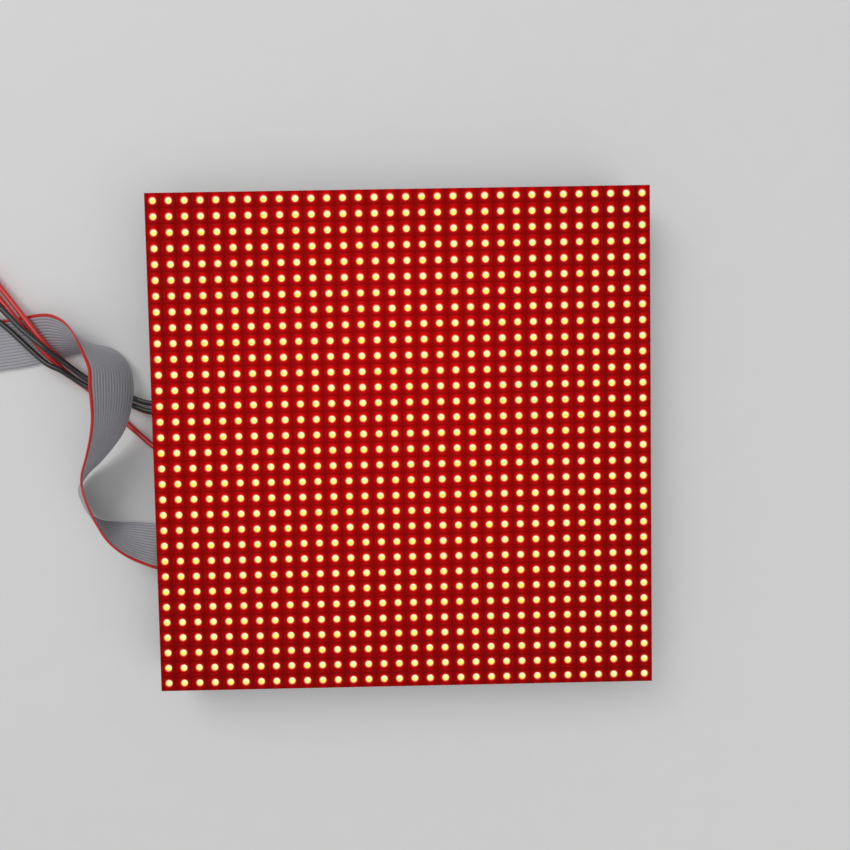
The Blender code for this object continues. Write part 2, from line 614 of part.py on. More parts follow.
def build_data_plug(name, x, y, seat, up, finish):
    """A ribbon socket: block, cover and latches. 'up' is the way its mating face looks."""
    mating = seat
    back = seat - up * PLUG_HEIGHT
    step = seat - up * (PLUG_HEIGHT - PLUG_COVER)
    half_x, half_y = PLUG_WIDTH / 2, PLUG_LENGTH / 2
    bm = bmesh.new()
    low, high = sorted((mating, step))
    add_box(bm, (x - half_x, y - half_y, low), (x + half_x, y + half_y, high))
    plug = add_object(name, bm, finish)
    overlap = step + up * PLUG_LATCH
    low, high = sorted((overlap, back))
    bm = bmesh.new()
    add_box(bm, (x - half_x + PLUG_COVER_INSET, y - half_y + PLUG_LATCH, low),
            (x + half_x - PLUG_COVER_INSET, y + half_y - PLUG_LATCH, high))
    low, high = sorted((mating - up * HEADER_DEPTH, back + up * PLUG_LATCH))
    for end in (-1, 1):
        near, far = sorted((y + end * (half_y - 2 * PLUG_LATCH), y + end * (half_y + PLUG_LATCH_STANDS)))
        add_box(bm, (x - half_x / 2, near, low), (x + half_x / 2, far, high))
    combine(plug, f"{name}_cover", bm, "UNION")
    deep = mating - up * (PIN_LENGTH + 2 * CLEARANCE)
    low, high = sorted((mating + up * OVERSHOOT, deep))
    slot = PIN_SIDE / 2 + CLEARANCE
    reach = (PINS_PER_ROW - 1) / 2 * PIN_PITCH + slot
    bm = bmesh.new()
    for row in (-0.5, 0.5):
        centre = x + row * PIN_PITCH
        add_box(bm, (centre - slot, y - reach, low), (centre + slot, y + reach, high))
    combine(plug, f"{name}_pin_slots", bm, "DIFFERENCE")


def build_power_socket(finish):
    low_y = SOCKET_ROW - SOCKET_WIDTH / 2
    high_y = SOCKET_ROW + SOCKET_WIDTH / 2
    far = SOCKET_FACE + SOCKET_LENGTH
    bottom = PARTS_DOWN - SOCKET_HEIGHT
    bm = bmesh.new()
    add_box(bm, (SOCKET_FACE, low_y, bottom), (far, high_y, PARTS_DOWN))
    socket = add_object("power_socket", bm, finish)
    bm = bmesh.new()
    add_box(bm, (SOCKET_FACE - OVERSHOOT, low_y + SOCKET_LIP, bottom + SOCKET_LIP),
            (far - SOCKET_BACK, high_y - SOCKET_LIP, PARTS_DOWN - SOCKET_LIP))
    combine(socket, "power_socket_cavity", bm, "DIFFERENCE")


def build_power_plug(finish):
    half = SOCKET_WIDTH / 2 - SOCKET_LIP - CLEARANCE
    middle = PARTS_DOWN - SOCKET_HEIGHT / 2
    tip = SOCKET_FACE + SOCKET_LENGTH - SOCKET_BACK - CLEARANCE
    tall = SOCKET_HEIGHT / 2 - SOCKET_LIP - CLEARANCE
    back = SOCKET_FACE - POWER_PLUG_LENGTH
    shoulder = SOCKET_FACE - CLEARANCE
    bm = bmesh.new()
    add_box(bm, (back, SOCKET_ROW - half, middle - tall), (tip, SOCKET_ROW + half, middle + tall))
    plug = add_object("power_plug", bm, finish)
    bm = bmesh.new()
    add_box(bm, (back + POWER_PLUG_STEP, SOCKET_ROW - SOCKET_WIDTH / 2, middle - POWER_PLUG_HEIGHT / 2),
            (shoulder, SOCKET_ROW + SOCKET_WIDTH / 2, middle + POWER_PLUG_HEIGHT / 2))
    combine(plug, "power_plug_shoulder", bm, "UNION")


# Ribbon: a strip between its two edges, thickened
def build_ribbon(finish):
    plain = smooth_curve(PLAIN_EDGE, RIBBON_STEPS)
    striped = smooth_curve(STRIPED_EDGE, RIBBON_STEPS)
    bm = bmesh.new()
    rows = []
    for first, second in zip(plain, striped):
        across = (second - first).normalized() * RIBBON_WIDTH
        rows.append((bm.verts.new(first), bm.verts.new(first + across)))
    for (a, b), (c, d) in zip(rows, rows[1:]):
        bm.faces.new((a, b, d, c))
    ribbon = add_object("ribbon_cable", bm, finish)
    thick = ribbon.modifiers.new("thickness", "SOLIDIFY")
    thick.thickness = RIBBON_THICKNESS
    thick.offset = 0


def build_wire(name, route, finish):
    points = smooth_route(route, WIRE_STATIONS)
    curve = bpy.data.curves.new(name, "CURVE")
    curve.dimensions = "3D"
    curve.bevel_depth = WIRE_RADIUS
    curve.bevel_resolution = 2
    curve.use_fill_caps = True
    line = curve.splines.new("POLY")
    line.points.add(len(points) - 1)
    for target, point in zip(line.points, points):
        target.co = (*point, 1.0)
    curve.materials.append(finish)
    parts.objects.link(bpy.data.objects.new(name, curve))


def build_terminal(name, routes, finish):
    """A fork terminal that holds the ends of two wires side by side."""
    ends = [Vector(route[-1]) * MM for route in routes]
    centre = sum(ends, Vector()) / len(ends)
    near = centre.x - CLEARANCE
    far = near - SLEEVE_LENGTH
    half = SLEEVE_HEIGHT / 2
    bm = bmesh.new()
    add_box(bm, (far, centre.y - SLEEVE_WIDTH / 2, centre.z - half),
            (near, centre.y + SLEEVE_WIDTH / 2, centre.z + half))
    lengthwise = [edge for edge in bm.edges if abs((edge.verts[0].co - edge.verts[1].co).x) > half]
    bmesh.ops.bevel(bm, geom=lengthwise, offset=SLEEVE_ROUNDING, segments=2, affect="EDGES", profile=0.5)
    terminal = add_object(name, bm, finish)
    flat = centre.z - TONGUE_THICKNESS / 2
    tip = far - TONGUE_LENGTH
    bm = bmesh.new()
    add_box(bm, (tip, centre.y - TONGUE_WIDTH / 2, flat),
            (far - CLEARANCE, centre.y + TONGUE_WIDTH / 2, flat + TONGUE_THICKNESS))
    add_box(bm, (far - 2 * CLEARANCE, centre.y - TONGUE_SLOT / 2, flat),
            (far + half, centre.y + TONGUE_SLOT / 2, flat + TONGUE_THICKNESS))
    combine(terminal, f"{name}_tongue", bm, "UNION")
    bm = bmesh.new()
    root = tip + TONGUE_LENGTH - TONGUE_SLOT
    add_box(bm, (tip - OVERSHOOT, centre.y - TONGUE_SLOT / 2, flat - OVERSHOOT),
            (root, centre.y + TONGUE_SLOT / 2, flat + TONGUE_THICKNESS + OVERSHOOT))
    combine(terminal, f"{name}_slot", bm, "DIFFERENCE")


def main():
    clear_scene()
    black_plastic = material("black_plastic", (0.02, 0.02, 0.022), 0.55)
    mask_plastic = material("mask_plastic", (0.016, 0.014, 0.015), 0.6)
    led_face = material("led_face", (1.0, 0.1, 0.05), 0.4, glow=1.0)
    chip_plastic = material("chip_plastic", (0.03, 0.03, 0.033), 0.45)
    white_nylon = material("white_nylon", (0.82, 0.8, 0.74), 0.5)
    steel = material("screw_steel", (0.55, 0.55, 0.57), 0.35, 1.0)
    brass = material("brass", (0.78, 0.57, 0.25), 0.35, 1.0)
    can = material("capacitor_can", (0.7, 0.7, 0.72), 0.3, 1.0)
    ribbon_grey = material("ribbon_grey", (0.42, 0.42, 0.44), 0.45)
    red_pvc = material("red_pvc", (0.55, 0.02, 0.02), 0.4)
    black_pvc = material("black_pvc", (0.02, 0.02, 0.02), 0.4)
    tin = material("tinned_copper", (0.72, 0.7, 0.66), 0.35, 1.0)

    build_mask(mask_plastic)
    build_board(led_face)
    build_frame(black_plastic)
    build_screws(steel)
    build_inserts(brass)
    build_chips(chip_plastic)
    build_capacitors(can)
    build_header("data_in_header", -1, chip_plastic)
    build_header("data_out_header", 1, chip_plastic)
    build_data_plug("data_plug", -HEADER_COLUMN, HEADER_ROW, HEADER_FLOOR - CLEARANCE, 1, chip_plastic)
    far_x = PLAIN_EDGE[-1][0] * MM - CLEARANCE - PLUG_WIDTH / 2
    far_y = (PLAIN_EDGE[-1][1] + STRIPED_EDGE[-1][1]) / 2 * MM
    build_data_plug("far_data_plug", far_x, far_y, PLUG_HEIGHT + CLEARANCE, 1, chip_plastic)
    build_power_socket(white_nylon)
    build_power_plug(white_nylon)
    build_ribbon(ribbon_grey)
    for name, route in WIRE_ROUTES.items():
        build_wire(name, route, red_pvc if name.startswith("red") else black_pvc)
    reds = [WIRE_ROUTES["red_wire_1"], WIRE_ROUTES["red_wire_2"]]
    blacks = [WIRE_ROUTES["black_wire_1"], WIRE_ROUTES["black_wire_2"]]
    build_terminal("red_fork_terminal", reds, tin)
    build_terminal("black_fork_terminal", blacks, tin)


main()
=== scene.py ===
"""Looks of a 32 x 32 RGB LED matrix panel that lies face up with its data and power leads.

Run as a script in Blender 4.5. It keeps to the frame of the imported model: +Z is the way the LEDs
shine, and the origin is under the middle of the module. Shapes are built in millimetres, and
piece_of turns them into metres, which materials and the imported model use.
"""

import math

import bmesh
import bpy
from bpy.props import FloatProperty, FloatVectorProperty, PointerProperty
from mathutils import Matrix, Vector


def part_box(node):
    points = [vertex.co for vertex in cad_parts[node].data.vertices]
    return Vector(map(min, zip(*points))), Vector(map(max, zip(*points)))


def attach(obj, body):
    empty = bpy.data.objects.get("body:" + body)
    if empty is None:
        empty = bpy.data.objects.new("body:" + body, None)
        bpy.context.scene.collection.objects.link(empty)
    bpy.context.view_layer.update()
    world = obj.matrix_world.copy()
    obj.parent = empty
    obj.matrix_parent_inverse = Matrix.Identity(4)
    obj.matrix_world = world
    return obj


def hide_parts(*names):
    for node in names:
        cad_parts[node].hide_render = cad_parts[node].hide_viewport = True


bl_info = {
    "name": "LED matrix panel",
    "version": (1, 0, 0),
    "blender": (4, 5, 0),
    "location": "View3D > Sidebar > LED Panel",
    "description": "Dresses the packed LED matrix panel with its pieces and finishes",
    "category": "Object",
}

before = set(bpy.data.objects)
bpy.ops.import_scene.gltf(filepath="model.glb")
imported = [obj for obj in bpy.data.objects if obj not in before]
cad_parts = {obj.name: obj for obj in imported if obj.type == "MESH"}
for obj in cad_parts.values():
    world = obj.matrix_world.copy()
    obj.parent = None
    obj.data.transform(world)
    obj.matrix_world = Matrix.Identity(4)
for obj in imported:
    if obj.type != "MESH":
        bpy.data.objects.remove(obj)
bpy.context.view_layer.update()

# Edges past SHARP stay hard, and a cutting shape stands out by OPENED from what it opens
MM = 0.001
TURN = 2 * math.pi
SHARP = math.radians(32)
OPENED = 2.0


def box_of(node):
    """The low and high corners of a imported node."""
    return [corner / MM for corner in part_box(node)]


def middle_of(node):
    low, high = box_of(node)
    return (low + high) / 2


def nodes_named(start):
    return sorted(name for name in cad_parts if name.startswith(start))


# Display grid, and the stack of board, packages and mask
PIXELS = 32
PITCH = 6.0
FIRST = -(PIXELS - 1) / 2 * PITCH
HALF = box_of("mask")[1].x
BOARD_THICK = 1.6
BOARD_BACK = box_of("led_board")[0].z
BOARD_FRONT = BOARD_BACK + BOARD_THICK
PACKAGE_HALF = 1.7
LED_FACE = box_of("led_board")[1].z
MASK_GAP = 0.3
MASK_BACK = BOARD_FRONT + MASK_GAP
MASK_FACE = box_of("mask")[1].z
MASK_LIP = 0.12
MASK_LIP_DROP = 0.15

# Holes for screws and for locating pins
POST_PLACE = 84.0
BORED = [(x, y) for x in (-POST_PLACE, 0, POST_PLACE) for y in (-POST_PLACE, 0, POST_PLACE)]
BORE_RADIUS = 1.72
PINNED = [(-60.0, POST_PLACE), (60.0, -POST_PLACE)]
PIN_RADIUS = 1.5

# Contacts of the data and power connectors
DATA_STEP = 2.54
DATA_COUNT = 8
POWER_STEP = 3.96
POWER_COUNT = 4
POWER_GUIDES = 8.4

# Gap under a chip, and the taper of its sides
CHIP_GAP = 0.3
CHIP_DRAUGHT = 0.25

# Leads: points along the two edges of the ribbon and along each wire
RIBBON_WIDTH = 20.3
CONDUCTORS = 16
PLAIN_EDGE = (
    (-75.3, -31.9, 4.6), (-85.0, -32.2, 3.4), (-94.0, -32.8, 2.4), (-103.5, -33.4, 1.6),
    (-111.2, -32.9, 1.1), (-118.8, -32.7, 0.9), (-126.7, -31.6, 0.9), (-131.5, -28.2, 0.9),
    (-134.2, -22.4, 0.9), (-134.7, -17.9, 0.9), (-130.6, -12.1, 1.5), (-124.6, -7.1, 2.8),
    (-118.4, -1.0, 4.3), (-113.2, 5.5, 5.5), (-110.0, 13.6, 6.1), (-108.7, 22.5, 5.9),
    (-110.5, 30.7, 3.8), (-115.9, 37.4, 2.2), (-123.6, 40.0, 1.3), (-131.3, 37.7, 0.9),
    (-139.5, 35.8, 0.9), (-146.1, 34.3, 0.9), (-153.6, 32.6, 0.9), (-163.0, 31.3, 0.9),
    (-185.0, 28.8, 0.9), (-215.0, 26.3, 0.9), (-245.0, 24.9, 1.6), (-270.0, 24.4, 2.9),
)
STRIPED_EDGE = (
    (-75.3, -52.1, 4.6), (-84.6, -52.4, 6.8), (-92.0, -51.9, 9.8), (-99.2, -49.3, 13.2),
    (-104.7, -46.8, 14.3), (-110.5, -42.6, 16.5), (-115.9, -37.2, 17.1), (-119.6, -30.9, 17.1),
    (-122.6, -24.1, 17.4), (-124.3, -16.9, 18.2), (-123.3, -10.8, 20.4), (-120.4, -3.8, 22.3),
    (-117.8, 3.5, 24.0), (-116.4, 10.3, 24.7), (-116.3, 17.0, 24.4), (-116.9, 23.4, 23.5),
    (-118.2, 29.9, 22.6), (-120.3, 35.2, 21.9), (-122.5, 40.6, 21.5), (-126.8, 46.2, 18.7),
    (-133.4, 50.4, 13.5), (-142.0, 52.9, 7.9), (-152.0, 52.6, 3.4), (-161.6, 51.5, 2.4),
    (-184.0, 49.1, 1.1), (-214.4, 46.6, 0.9), (-244.7, 45.2, 1.6), (-270.0, 44.7, 2.9),
)
WIRE_RADIUS = 1.1
WIRES = {
    "red_wire_1": (
        (-47.3, 12.06, 11.3), (-62.0, 11.5, 10.8), (-78.0, 9.0, 8.0), (-91.2, 4.2, 5.2),
        (-96.6, -1.2, 4.2), (-99.8, -2.5, 3.6), (-102.9, -1.0, 3.1), (-108.2, 3.5, 2.4),
        (-113.6, 8.1, 1.5), (-121.2, 16.0, 1.3), (-129.0, 22.5, 1.3), (-134.8, 27.1, 1.8),
        (-138.9, 31.4, 3.2), (-144.8, 38.1, 4.9), (-154.4, 50.4, 5.3), (-161.0, 58.3, 4.1),
        (-174.0, 72.8, 2.2), (-193.0, 86.0, 1.4), (-220.0, 95.0, 1.3), (-250.0, 98.4, 1.8),
        (-274.7, 98.7, 2.7),
    ),
    "red_wire_2": (
        (-47.3, 16.02, 11.3), (-62.0, 15.6, 10.3), (-78.0, 14.0, 6.3), (-91.0, 13.0, 2.8),
        (-103.5, 12.6, 1.3), (-110.8, 15.3, 1.3), (-119.4, 20.5, 1.3), (-128.4, 26.1, 1.3),
        (-134.0, 30.3, 1.9), (-137.9, 34.5, 4.0), (-143.3, 41.3, 6.7), (-151.9, 52.4, 5.9),
        (-158.5, 60.2, 4.2), (-172.0, 76.0, 2.4), (-191.0, 89.5, 1.5), (-219.0, 98.5, 1.3),
        (-250.0, 101.5, 1.8), (-274.7, 101.3, 2.7),
    ),
    "black_wire_1": (
        (-47.3, 23.94, 11.3), (-62.0, 23.4, 11.0), (-78.0, 20.4, 9.0), (-91.0, 16.3, 6.6),
        (-102.2, 16.3, 4.6), (-109.7, 18.5, 3.8), (-118.2, 22.5, 3.7), (-127.3, 26.3, 3.9),
        (-132.8, 30.5, 4.8), (-136.7, 34.2, 7.0), (-142.0, 39.1, 9.2), (-151.2, 46.8, 8.3),
        (-157.3, 52.8, 7.1), (-164.0, 58.8, 5.9), (-177.0, 67.5, 2.4), (-197.0, 75.5, 1.4),
        (-225.0, 80.6, 1.3), (-262.0, 82.4, 1.8), (-292.0, 82.3, 2.7),
    ),
    "black_wire_2": (
        (-47.3, 19.98, 11.3), (-62.0, 19.4, 11.0), (-78.0, 16.6, 8.6), (-91.0, 12.8, 5.8),
        (-102.4, 12.9, 3.9), (-110.1, 15.45, 3.8), (-118.3, 19.6, 3.8), (-127.4, 23.1, 3.9),
        (-133.3, 26.9, 4.4), (-137.4, 30.1, 5.8), (-143.7, 33.6, 6.2), (-153.8, 42.8, 5.2),
        (-159.0, 47.6, 4.6), (-164.5, 52.0, 4.3), (-171.0, 56.9, 3.2), (-182.0, 64.0, 1.8),
        (-200.0, 71.3, 1.3), (-225.0, 77.0, 1.3), (-262.0, 79.8, 1.8), (-292.0, 79.7, 2.7),
    ),
}

# Painted glow of the packages' light on the face at each distance from a lens's middle, in pitches, and the
# place where that painted glow is brightest, in metres
HALO = ((0.20, 0.66), (0.27, 0.52), (0.33, 0.46), (0.40, 0.36), (0.48, 0.285), (0.62, 0.245))
BRIGHTEST = (-0.010, 0.025)

# Tinned metal, dull and bright
TINNED = ((0.55, 0.54, 0.52), (0.78, 0.77, 0.74))
SOLDER = ((0.60, 0.60, 0.58), (0.80, 0.80, 0.78))

# Camera: a phone held over the panel, turned about CAMERA_TURN by as many degrees as it is long
CAMERA_PLACE = Vector((7.10, 15.86, 265.68))
CAMERA_TURN = Vector((-2.28, -0.40, -1.06))
SENSOR = 36.0


def combined(operation, swapped=False):
    """A method that joins a Value to another value, or to a number, by a Math node."""
    def method(self, other):
        return self.maths(operation, *((other, self) if swapped else (self, other)))
    return method


class Value:
    """A socket of a material, so that shader maths reads as arithmetic."""

    def __init__(self, finish, socket):
        self.finish = finish
        self.socket = socket

    def output(self, name):
        return Value(self.finish, self.socket.node.outputs[name])

    def maths(self, operation, *values):
        return self.finish.node("ShaderNodeMath", {"operation": operation}, dict(enumerate(values)))

    __add__ = __radd__ = combined("ADD")
    __mul__ = __rmul__ = combined("MULTIPLY")
    __sub__ = combined("SUBTRACT")
    __rsub__ = combined("SUBTRACT", True)
    __truediv__ = combined("DIVIDE")
    __rtruediv__ = combined("DIVIDE", True)
    __pow__ = combined("POWER")
    __gt__ = combined("GREATER_THAN")
    __lt__ = combined("LESS_THAN")
    larger = combined("MAXIMUM")
    smaller = combined("MINIMUM")

    def __abs__(self):
        return self.maths("ABSOLUTE", self)

    def whole(self):
        """The whole number at or below this one."""
        return self.maths("FLOOR", self)

    def wave(self, period):
        """The fraction of the way through each period, from 0 to 1."""
        return self.maths("FRACT", self / period)

    def step(self, low, high):
        """0 below low, 1 above high, and smooth between them."""
        settings = {"interpolation_type": "SMOOTHSTEP"}
        return self.finish.node("ShaderNodeMapRange", settings, {0: self, 1: low, 2: high})


class Finish:
    """A material whose surface is worked out by nodes."""

    def __init__(self, name):
        self.material = bpy.data.materials.new(name)
        self.material.use_nodes = True
        self.tree = self.material.node_tree
        self.shader = self.tree.nodes["Principled BSDF"]
        self.place = self.node("ShaderNodeTexCoord").output("Object")
        self.x = self.node("ShaderNodeSeparateXYZ", {}, {0: self.place})
        self.y = self.x.output("Y")
        self.z = self.x.output("Z")

    def feed(self, socket, value):
        if isinstance(value, Value):
            self.tree.links.new(value.socket, socket)
        elif socket.type == "RGBA":
            socket.default_value = (*value[:3], 1.0)
        else:
            socket.default_value = value

    def node(self, kind, settings=None, inputs=None, output=0):
        """A node with its settings, and the values or links of its sockets."""
        made = self.tree.nodes.new(kind)
        for name, value in (settings or {}).items():
            if name == "stops":
                ramp = made.color_ramp.elements
                while len(ramp) < len(value):
                    ramp.new(1.0)
                for element, (position, grey) in zip(ramp, value):
                    element.position = position
                    element.color = (grey, grey, grey, 1.0)
            else:
                setattr(made, name, value)
        for name, value in (inputs or {}).items():
            self.feed(made.inputs[name], value)
        return Value(self, made.outputs[output])

    def mix(self, share, first, second):
        """Colour: first where share is 0, second where it is 1."""
        return self.node("ShaderNodeMix", {"data_type": "RGBA"}, {0: share, 6: first, 7: second}, 2)

    def ramp(self, share, stops):
        """Grey levels between stops."""
        return self.node("ShaderNodeValToRGB", {"stops": stops}, {0: share})

    def noise(self, scale, detail=3.0, stretch=(1, 1, 1)):
        spread = self.node("ShaderNodeMapping", {}, {"Vector": self.place, "Scale": stretch})
        return self.node("ShaderNodeTexNoise", {}, {"Vector": spread, "Scale": scale, "Detail": detail})

    def cells(self, scale):
        return self.node("ShaderNodeTexVoronoi", {}, {"Vector": self.place, "Scale": scale})

    def chance(self, *numbers):
        """A random number for each set of whole numbers."""
        place = self.node("ShaderNodeCombineXYZ", {}, dict(enumerate(numbers)))
        return self.node("ShaderNodeTexWhiteNoise", {}, {"Vector": place})

    def bump(self, height, depth):
        """A normal that a height bends, with the depth in millimetres."""
        return self.node("ShaderNodeBump", {}, {"Height": height, "Distance": depth * MM})

    def surface(self, **sockets):
        """Sets the shader's sockets, named in lower case with low lines."""
        for name, value in sockets.items():
            title = name.replace("_", " ").title().replace("Ior", "IOR")
            self.feed(self.shader.inputs[title], value)
        return self.material


def shade(color, factor):
    """A colour made paler or darker."""
    return tuple(min(1.0, factor * value) for value in color)


def distance(across, along):
    return (across * across + along * along) ** 0.5


# Shapes

def smooth_points(points, steps, near, far):
    """A Catmull-Rom curve, whose ends run on into their fittings by near and far."""
    knots = [Vector(point) for point in points]
    knots = [2 * knots[0] - knots[1]] + knots + [2 * knots[-1] - knots[-2]]
    fine = []
    for before, start, end, after in zip(knots, knots[1:], knots[2:], knots[3:]):
        for step in range(steps):
            t = step / steps
            fine.append(
                0.5 * (2 * start + (end - before) * t
                       + (2 * before - 5 * start + 4 * end - after) * t * t
                       + (3 * start - before - 3 * end + after) * t * t * t)
            )
    fine[0] += Vector((near, 0, 0))
    return fine + [knots[-2] - Vector((far, 0, 0))]


def length_of(points):
    return sum((second - first).length for first, second in zip(points, points[1:]))


def around(middle, width):
    """The range of a width round its middle."""
    return middle - width / 2, middle + width / 2


def row(middle, count, step):
    """Places a step apart, round a middle."""
    return [middle + (number - (count - 1) / 2) * step for number in range(count)]


def data_grid(middle):
    """The 16 contacts of a data connector."""
    return [(x, y) for x in row(middle.x, 2, DATA_STEP) for y in row(middle.y, DATA_COUNT, DATA_STEP)]


def verts_in(geom):
    return [item for item in geom if isinstance(item, bmesh.types.BMVert)]


def edges_in(geom):
    return [item for item in geom if isinstance(item, bmesh.types.BMEdge)]


def extrude(bm, edges):
    """Extrudes edges in place, and returns the new points and edges."""
    made = bmesh.ops.extrude_edge_only(bm, edges=edges)["geom"]
    return verts_in(made), edges_in(made)


def bevel_edges(bm, edges, offset, segments=1):
    bmesh.ops.bevel(bm, geom=edges, offset=offset, segments=segments, profile=0.5,
                    affect="EDGES", material=-1)


def uprights_at(verts):
    """The upright edges at these points."""
    edges = dict.fromkeys(edge for vert in verts for edge in vert.link_edges)
    return [edge for edge in edges if abs(edge.verts[0].co.z - edge.verts[1].co.z) > 0.5]


def paint(verts, material):
    """Gives the faces at these points a material, and returns them."""
    faces = list(dict.fromkeys(face for vert in verts for face in vert.link_faces))
    for face in faces:
        face.material_index = material
    return faces


def add_box(bm, x, y, z, material=0, bevel=0.0):
    """A box over a range along each axis, with its edges bevelled."""
    low = Vector([min(ends) for ends in (x, y, z)])
    high = Vector([max(ends) for ends in (x, y, z)])
    place = Matrix.Translation((low + high) / 2) @ Matrix.Diagonal((*(high - low), 1.0))
    verts = bmesh.ops.create_cube(bm, size=1.0, matrix=place)["verts"]
    faces = paint(verts, material)
    if bevel:
        bevel_edges(bm, list(dict.fromkeys(edge for face in faces for edge in face.edges)), bevel)
    return verts


def add_cylinder(bm, centre, radius, heights, sides=24, material=0):
    """An upright cylinder round a point of the XY plane."""
    low, high = heights
    made = bmesh.ops.create_cone(bm, cap_ends=True, segments=sides, radius1=radius, radius2=radius,
                                 depth=high - low, matrix=Matrix.Translation((*centre, (low + high) / 2)))
    paint(made["verts"], material)


def turned(profile, steps):
    """A new bmesh: an outline of (radius, height) points spun round the upright axis."""
    bm = bmesh.new()
    corners = [bm.verts.new((radius, 0, height)) for radius, height in profile]
    edges = [bm.edges.new(pair) for pair in zip(corners, corners[1:])]
    bmesh.ops.spin(bm, geom=corners + edges, cent=(0, 0, 0), axis=(0, 0, 1), dvec=(0, 0, 0),
                   angle=TURN, steps=steps, use_merge=True)
    bmesh.ops.remove_doubles(bm, verts=bm.verts, dist=0.001)
    return bm


def mesh_of(name, bm):
    mesh = bpy.data.meshes.new(name)
    bmesh.ops.recalc_face_normals(bm, faces=bm.faces)
    bm.to_mesh(mesh)
    bm.free()
    return mesh


def add_object(name, data):
    made = bpy.data.objects.new(name, data)
    bpy.context.scene.collection.objects.link(made)
    return made


def carve(bm, tool):
    """The solids in bm less the solids in tool, as a new bmesh."""
    body = add_object("carved", mesh_of("carved", bm))
    cutter = add_object("cutter", mesh_of("cutter", tool))
    cut = body.modifiers.new("carve", "BOOLEAN")
    cut.object = cutter
    cut.solver = "EXACT"
    cut.use_self = True
    settled = body.evaluated_get(bpy.context.evaluated_depsgraph_get())
    result = bmesh.new()
    result.from_mesh(bpy.data.meshes.new_from_object(settled))
    for made in (body, cutter):
        bpy.data.objects.remove(made)
    paint(result.verts, 0)
    return result


def add_copies(bm, unit, places):
    """A copy of a mesh at each (x, y, z, degrees round the upright axis)."""
    for x, y, z, degrees in places:
        before = set(bm.verts)
        bm.from_mesh(unit)
        place = Matrix.Translation((x, y, z)) @ Matrix.Rotation(math.radians(degrees), 4, "Z")
        bmesh.ops.transform(bm, matrix=place, verts=[vert for vert in bm.verts if vert not in before])


def repeat(bm, count, step):
    """Doubles everything in bm until there are count copies, a step apart."""
    copies = 1
    while copies < count:
        made = bmesh.ops.duplicate(bm, geom=bm.verts[:] + bm.edges[:] + bm.faces[:])["geom"]
        bmesh.ops.translate(bm, verts=verts_in(made), vec=Vector(step) * copies)
        copies *= 2


def piece_of(name, bm, materials, replaced=(), smooth=True):
    """Puts a finished shape in the scene as a piece of the panel."""
    mesh = mesh_of(name, bm)
    mesh.transform(Matrix.Scale(MM, 4))
    for material in materials:
        mesh.materials.append(material)
    if smooth:
        mesh.shade_smooth()
        mesh.set_sharp_from_angle(angle=SHARP)
    piece = add_object(name, mesh)
    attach(piece, "root")
    if replaced:
        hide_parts(*replaced)
    return piece


def piece_of_copies(name, unit, start, materials, height=0.0, degrees=0):
    """One piece with a copy of a mesh at each node whose name has this start."""
    found = nodes_named(start)
    bm = bmesh.new()
    add_copies(bm, unit, [(*middle_of(node).xy, height, degrees) for node in found])
    piece_of(name, bm, materials, found)


# Finishes

def pixel_place(finish):
    """The place within each pixel, in pitches from its middle, from -0.5 to 0.5."""
    return finish.x.wave(PITCH * MM) - 0.5, finish.y.wave(PITCH * MM) - 0.5


def painted_halo_of(finish, settings):
    """Painted light of the packages round each lens, as emission: orange at its rim, then red that fades
    towards the next pixel.
    """
    across, along = pixel_place(finish)
    tall = (along * 1.27 - 0.205).larger(along * -0.93)
    level = finish.ramp(distance(across * 1.0583, tall), HALO)
    aside = finish.x - BRIGHTEST[0]
    above = finish.y - BRIGHTEST[1]
    # Painted falloff: the painted glow grows dimmer away from its brightest place
    painted_falloff = 1.12 / (1 + (aside * aside + above * above) * 26)
    level = level * painted_falloff * (0.92 + finish.noise(26.0, 2.0) * 0.16)
    red = finish.mix(level, (0.0, 0.0, 0.0), settings.glow_color)
    return finish.mix(distance(across, along).step(0.20, 0.265), settings.rim_color, red)


def grained_finish(name, scale, colors, rough, depth, detail=3.0, stretch=(1, 1, 1), glow=None):
    """A surface with a fine grain, with a painted glow of the packages' light where glow holds the face's
    settings.
    """
    finish = Finish(name)
    grain = finish.noise(scale, detail, stretch)
    if glow:
        # Painted glow: the packages' red light as an emission colour
        finish.surface(emission_color=painted_halo_of(finish, glow), emission_strength=1.0, specular_ior_level=0.05)
    return finish.surface(
        base_color=finish.mix(grain, *colors),
        roughness=rough[0] + grain * rough[1],
        normal=finish.bump(grain, depth),
    )


def mask_face_finish(settings):
    """Matt black plastic with the lit packages' light painted on: a painted dark red tint in its colour and
    a painted glow.
    """
    finish = Finish("mask_face")
    grain = finish.noise(5200.0, 2.0)
    return finish.surface(
        # Dark red tint: painted red light of the packages on the black plastic
        base_color=finish.mix(finish.noise(300.0), (0.004, 0.001, 0.001), (0.008, 0.002, 0.002)),
        roughness=0.55 + grain * 0.2,
        specular_ior_level=0.02,
        emission_color=painted_halo_of(finish, settings),
        emission_strength=1.0,
        normal=finish.bump(grain, 0.02),
    )


def black_plastic_finish(name, grain_scale, base=(0.017, 0.017, 0.018)):
    """Moulded black plastic with a fine sparked grain and faint flow marks."""
    finish = Finish(name)
    grain = finish.noise(grain_scale)
    flow = finish.noise(30.0, 4.0, (1.0, 3.0, 1.0))
    rubbed = finish.noise(160.0, 6.0).step(0.62, 0.75)
    return finish.surface(
        base_color=finish.mix(rubbed * 0.5 + flow * 0.3, base, shade(base, 1.9)),
        roughness=0.42 + flow * 0.16 + grain * 0.08,
        normal=finish.bump(grain, 0.03),
    )


def package_finish(settings):
    """White package moulding, painted dark red and given a painted glow for the red light it gets from
    inside.
    """
    # Dark red base colours: painted red light on the white moulding
    colors = ((0.03, 0.001, 0.001), (0.06, 0.002, 0.002))
    return grained_finish("led_package", 2500.0, colors, (0.45, 0.15), 0.01, 2.0, glow=settings)


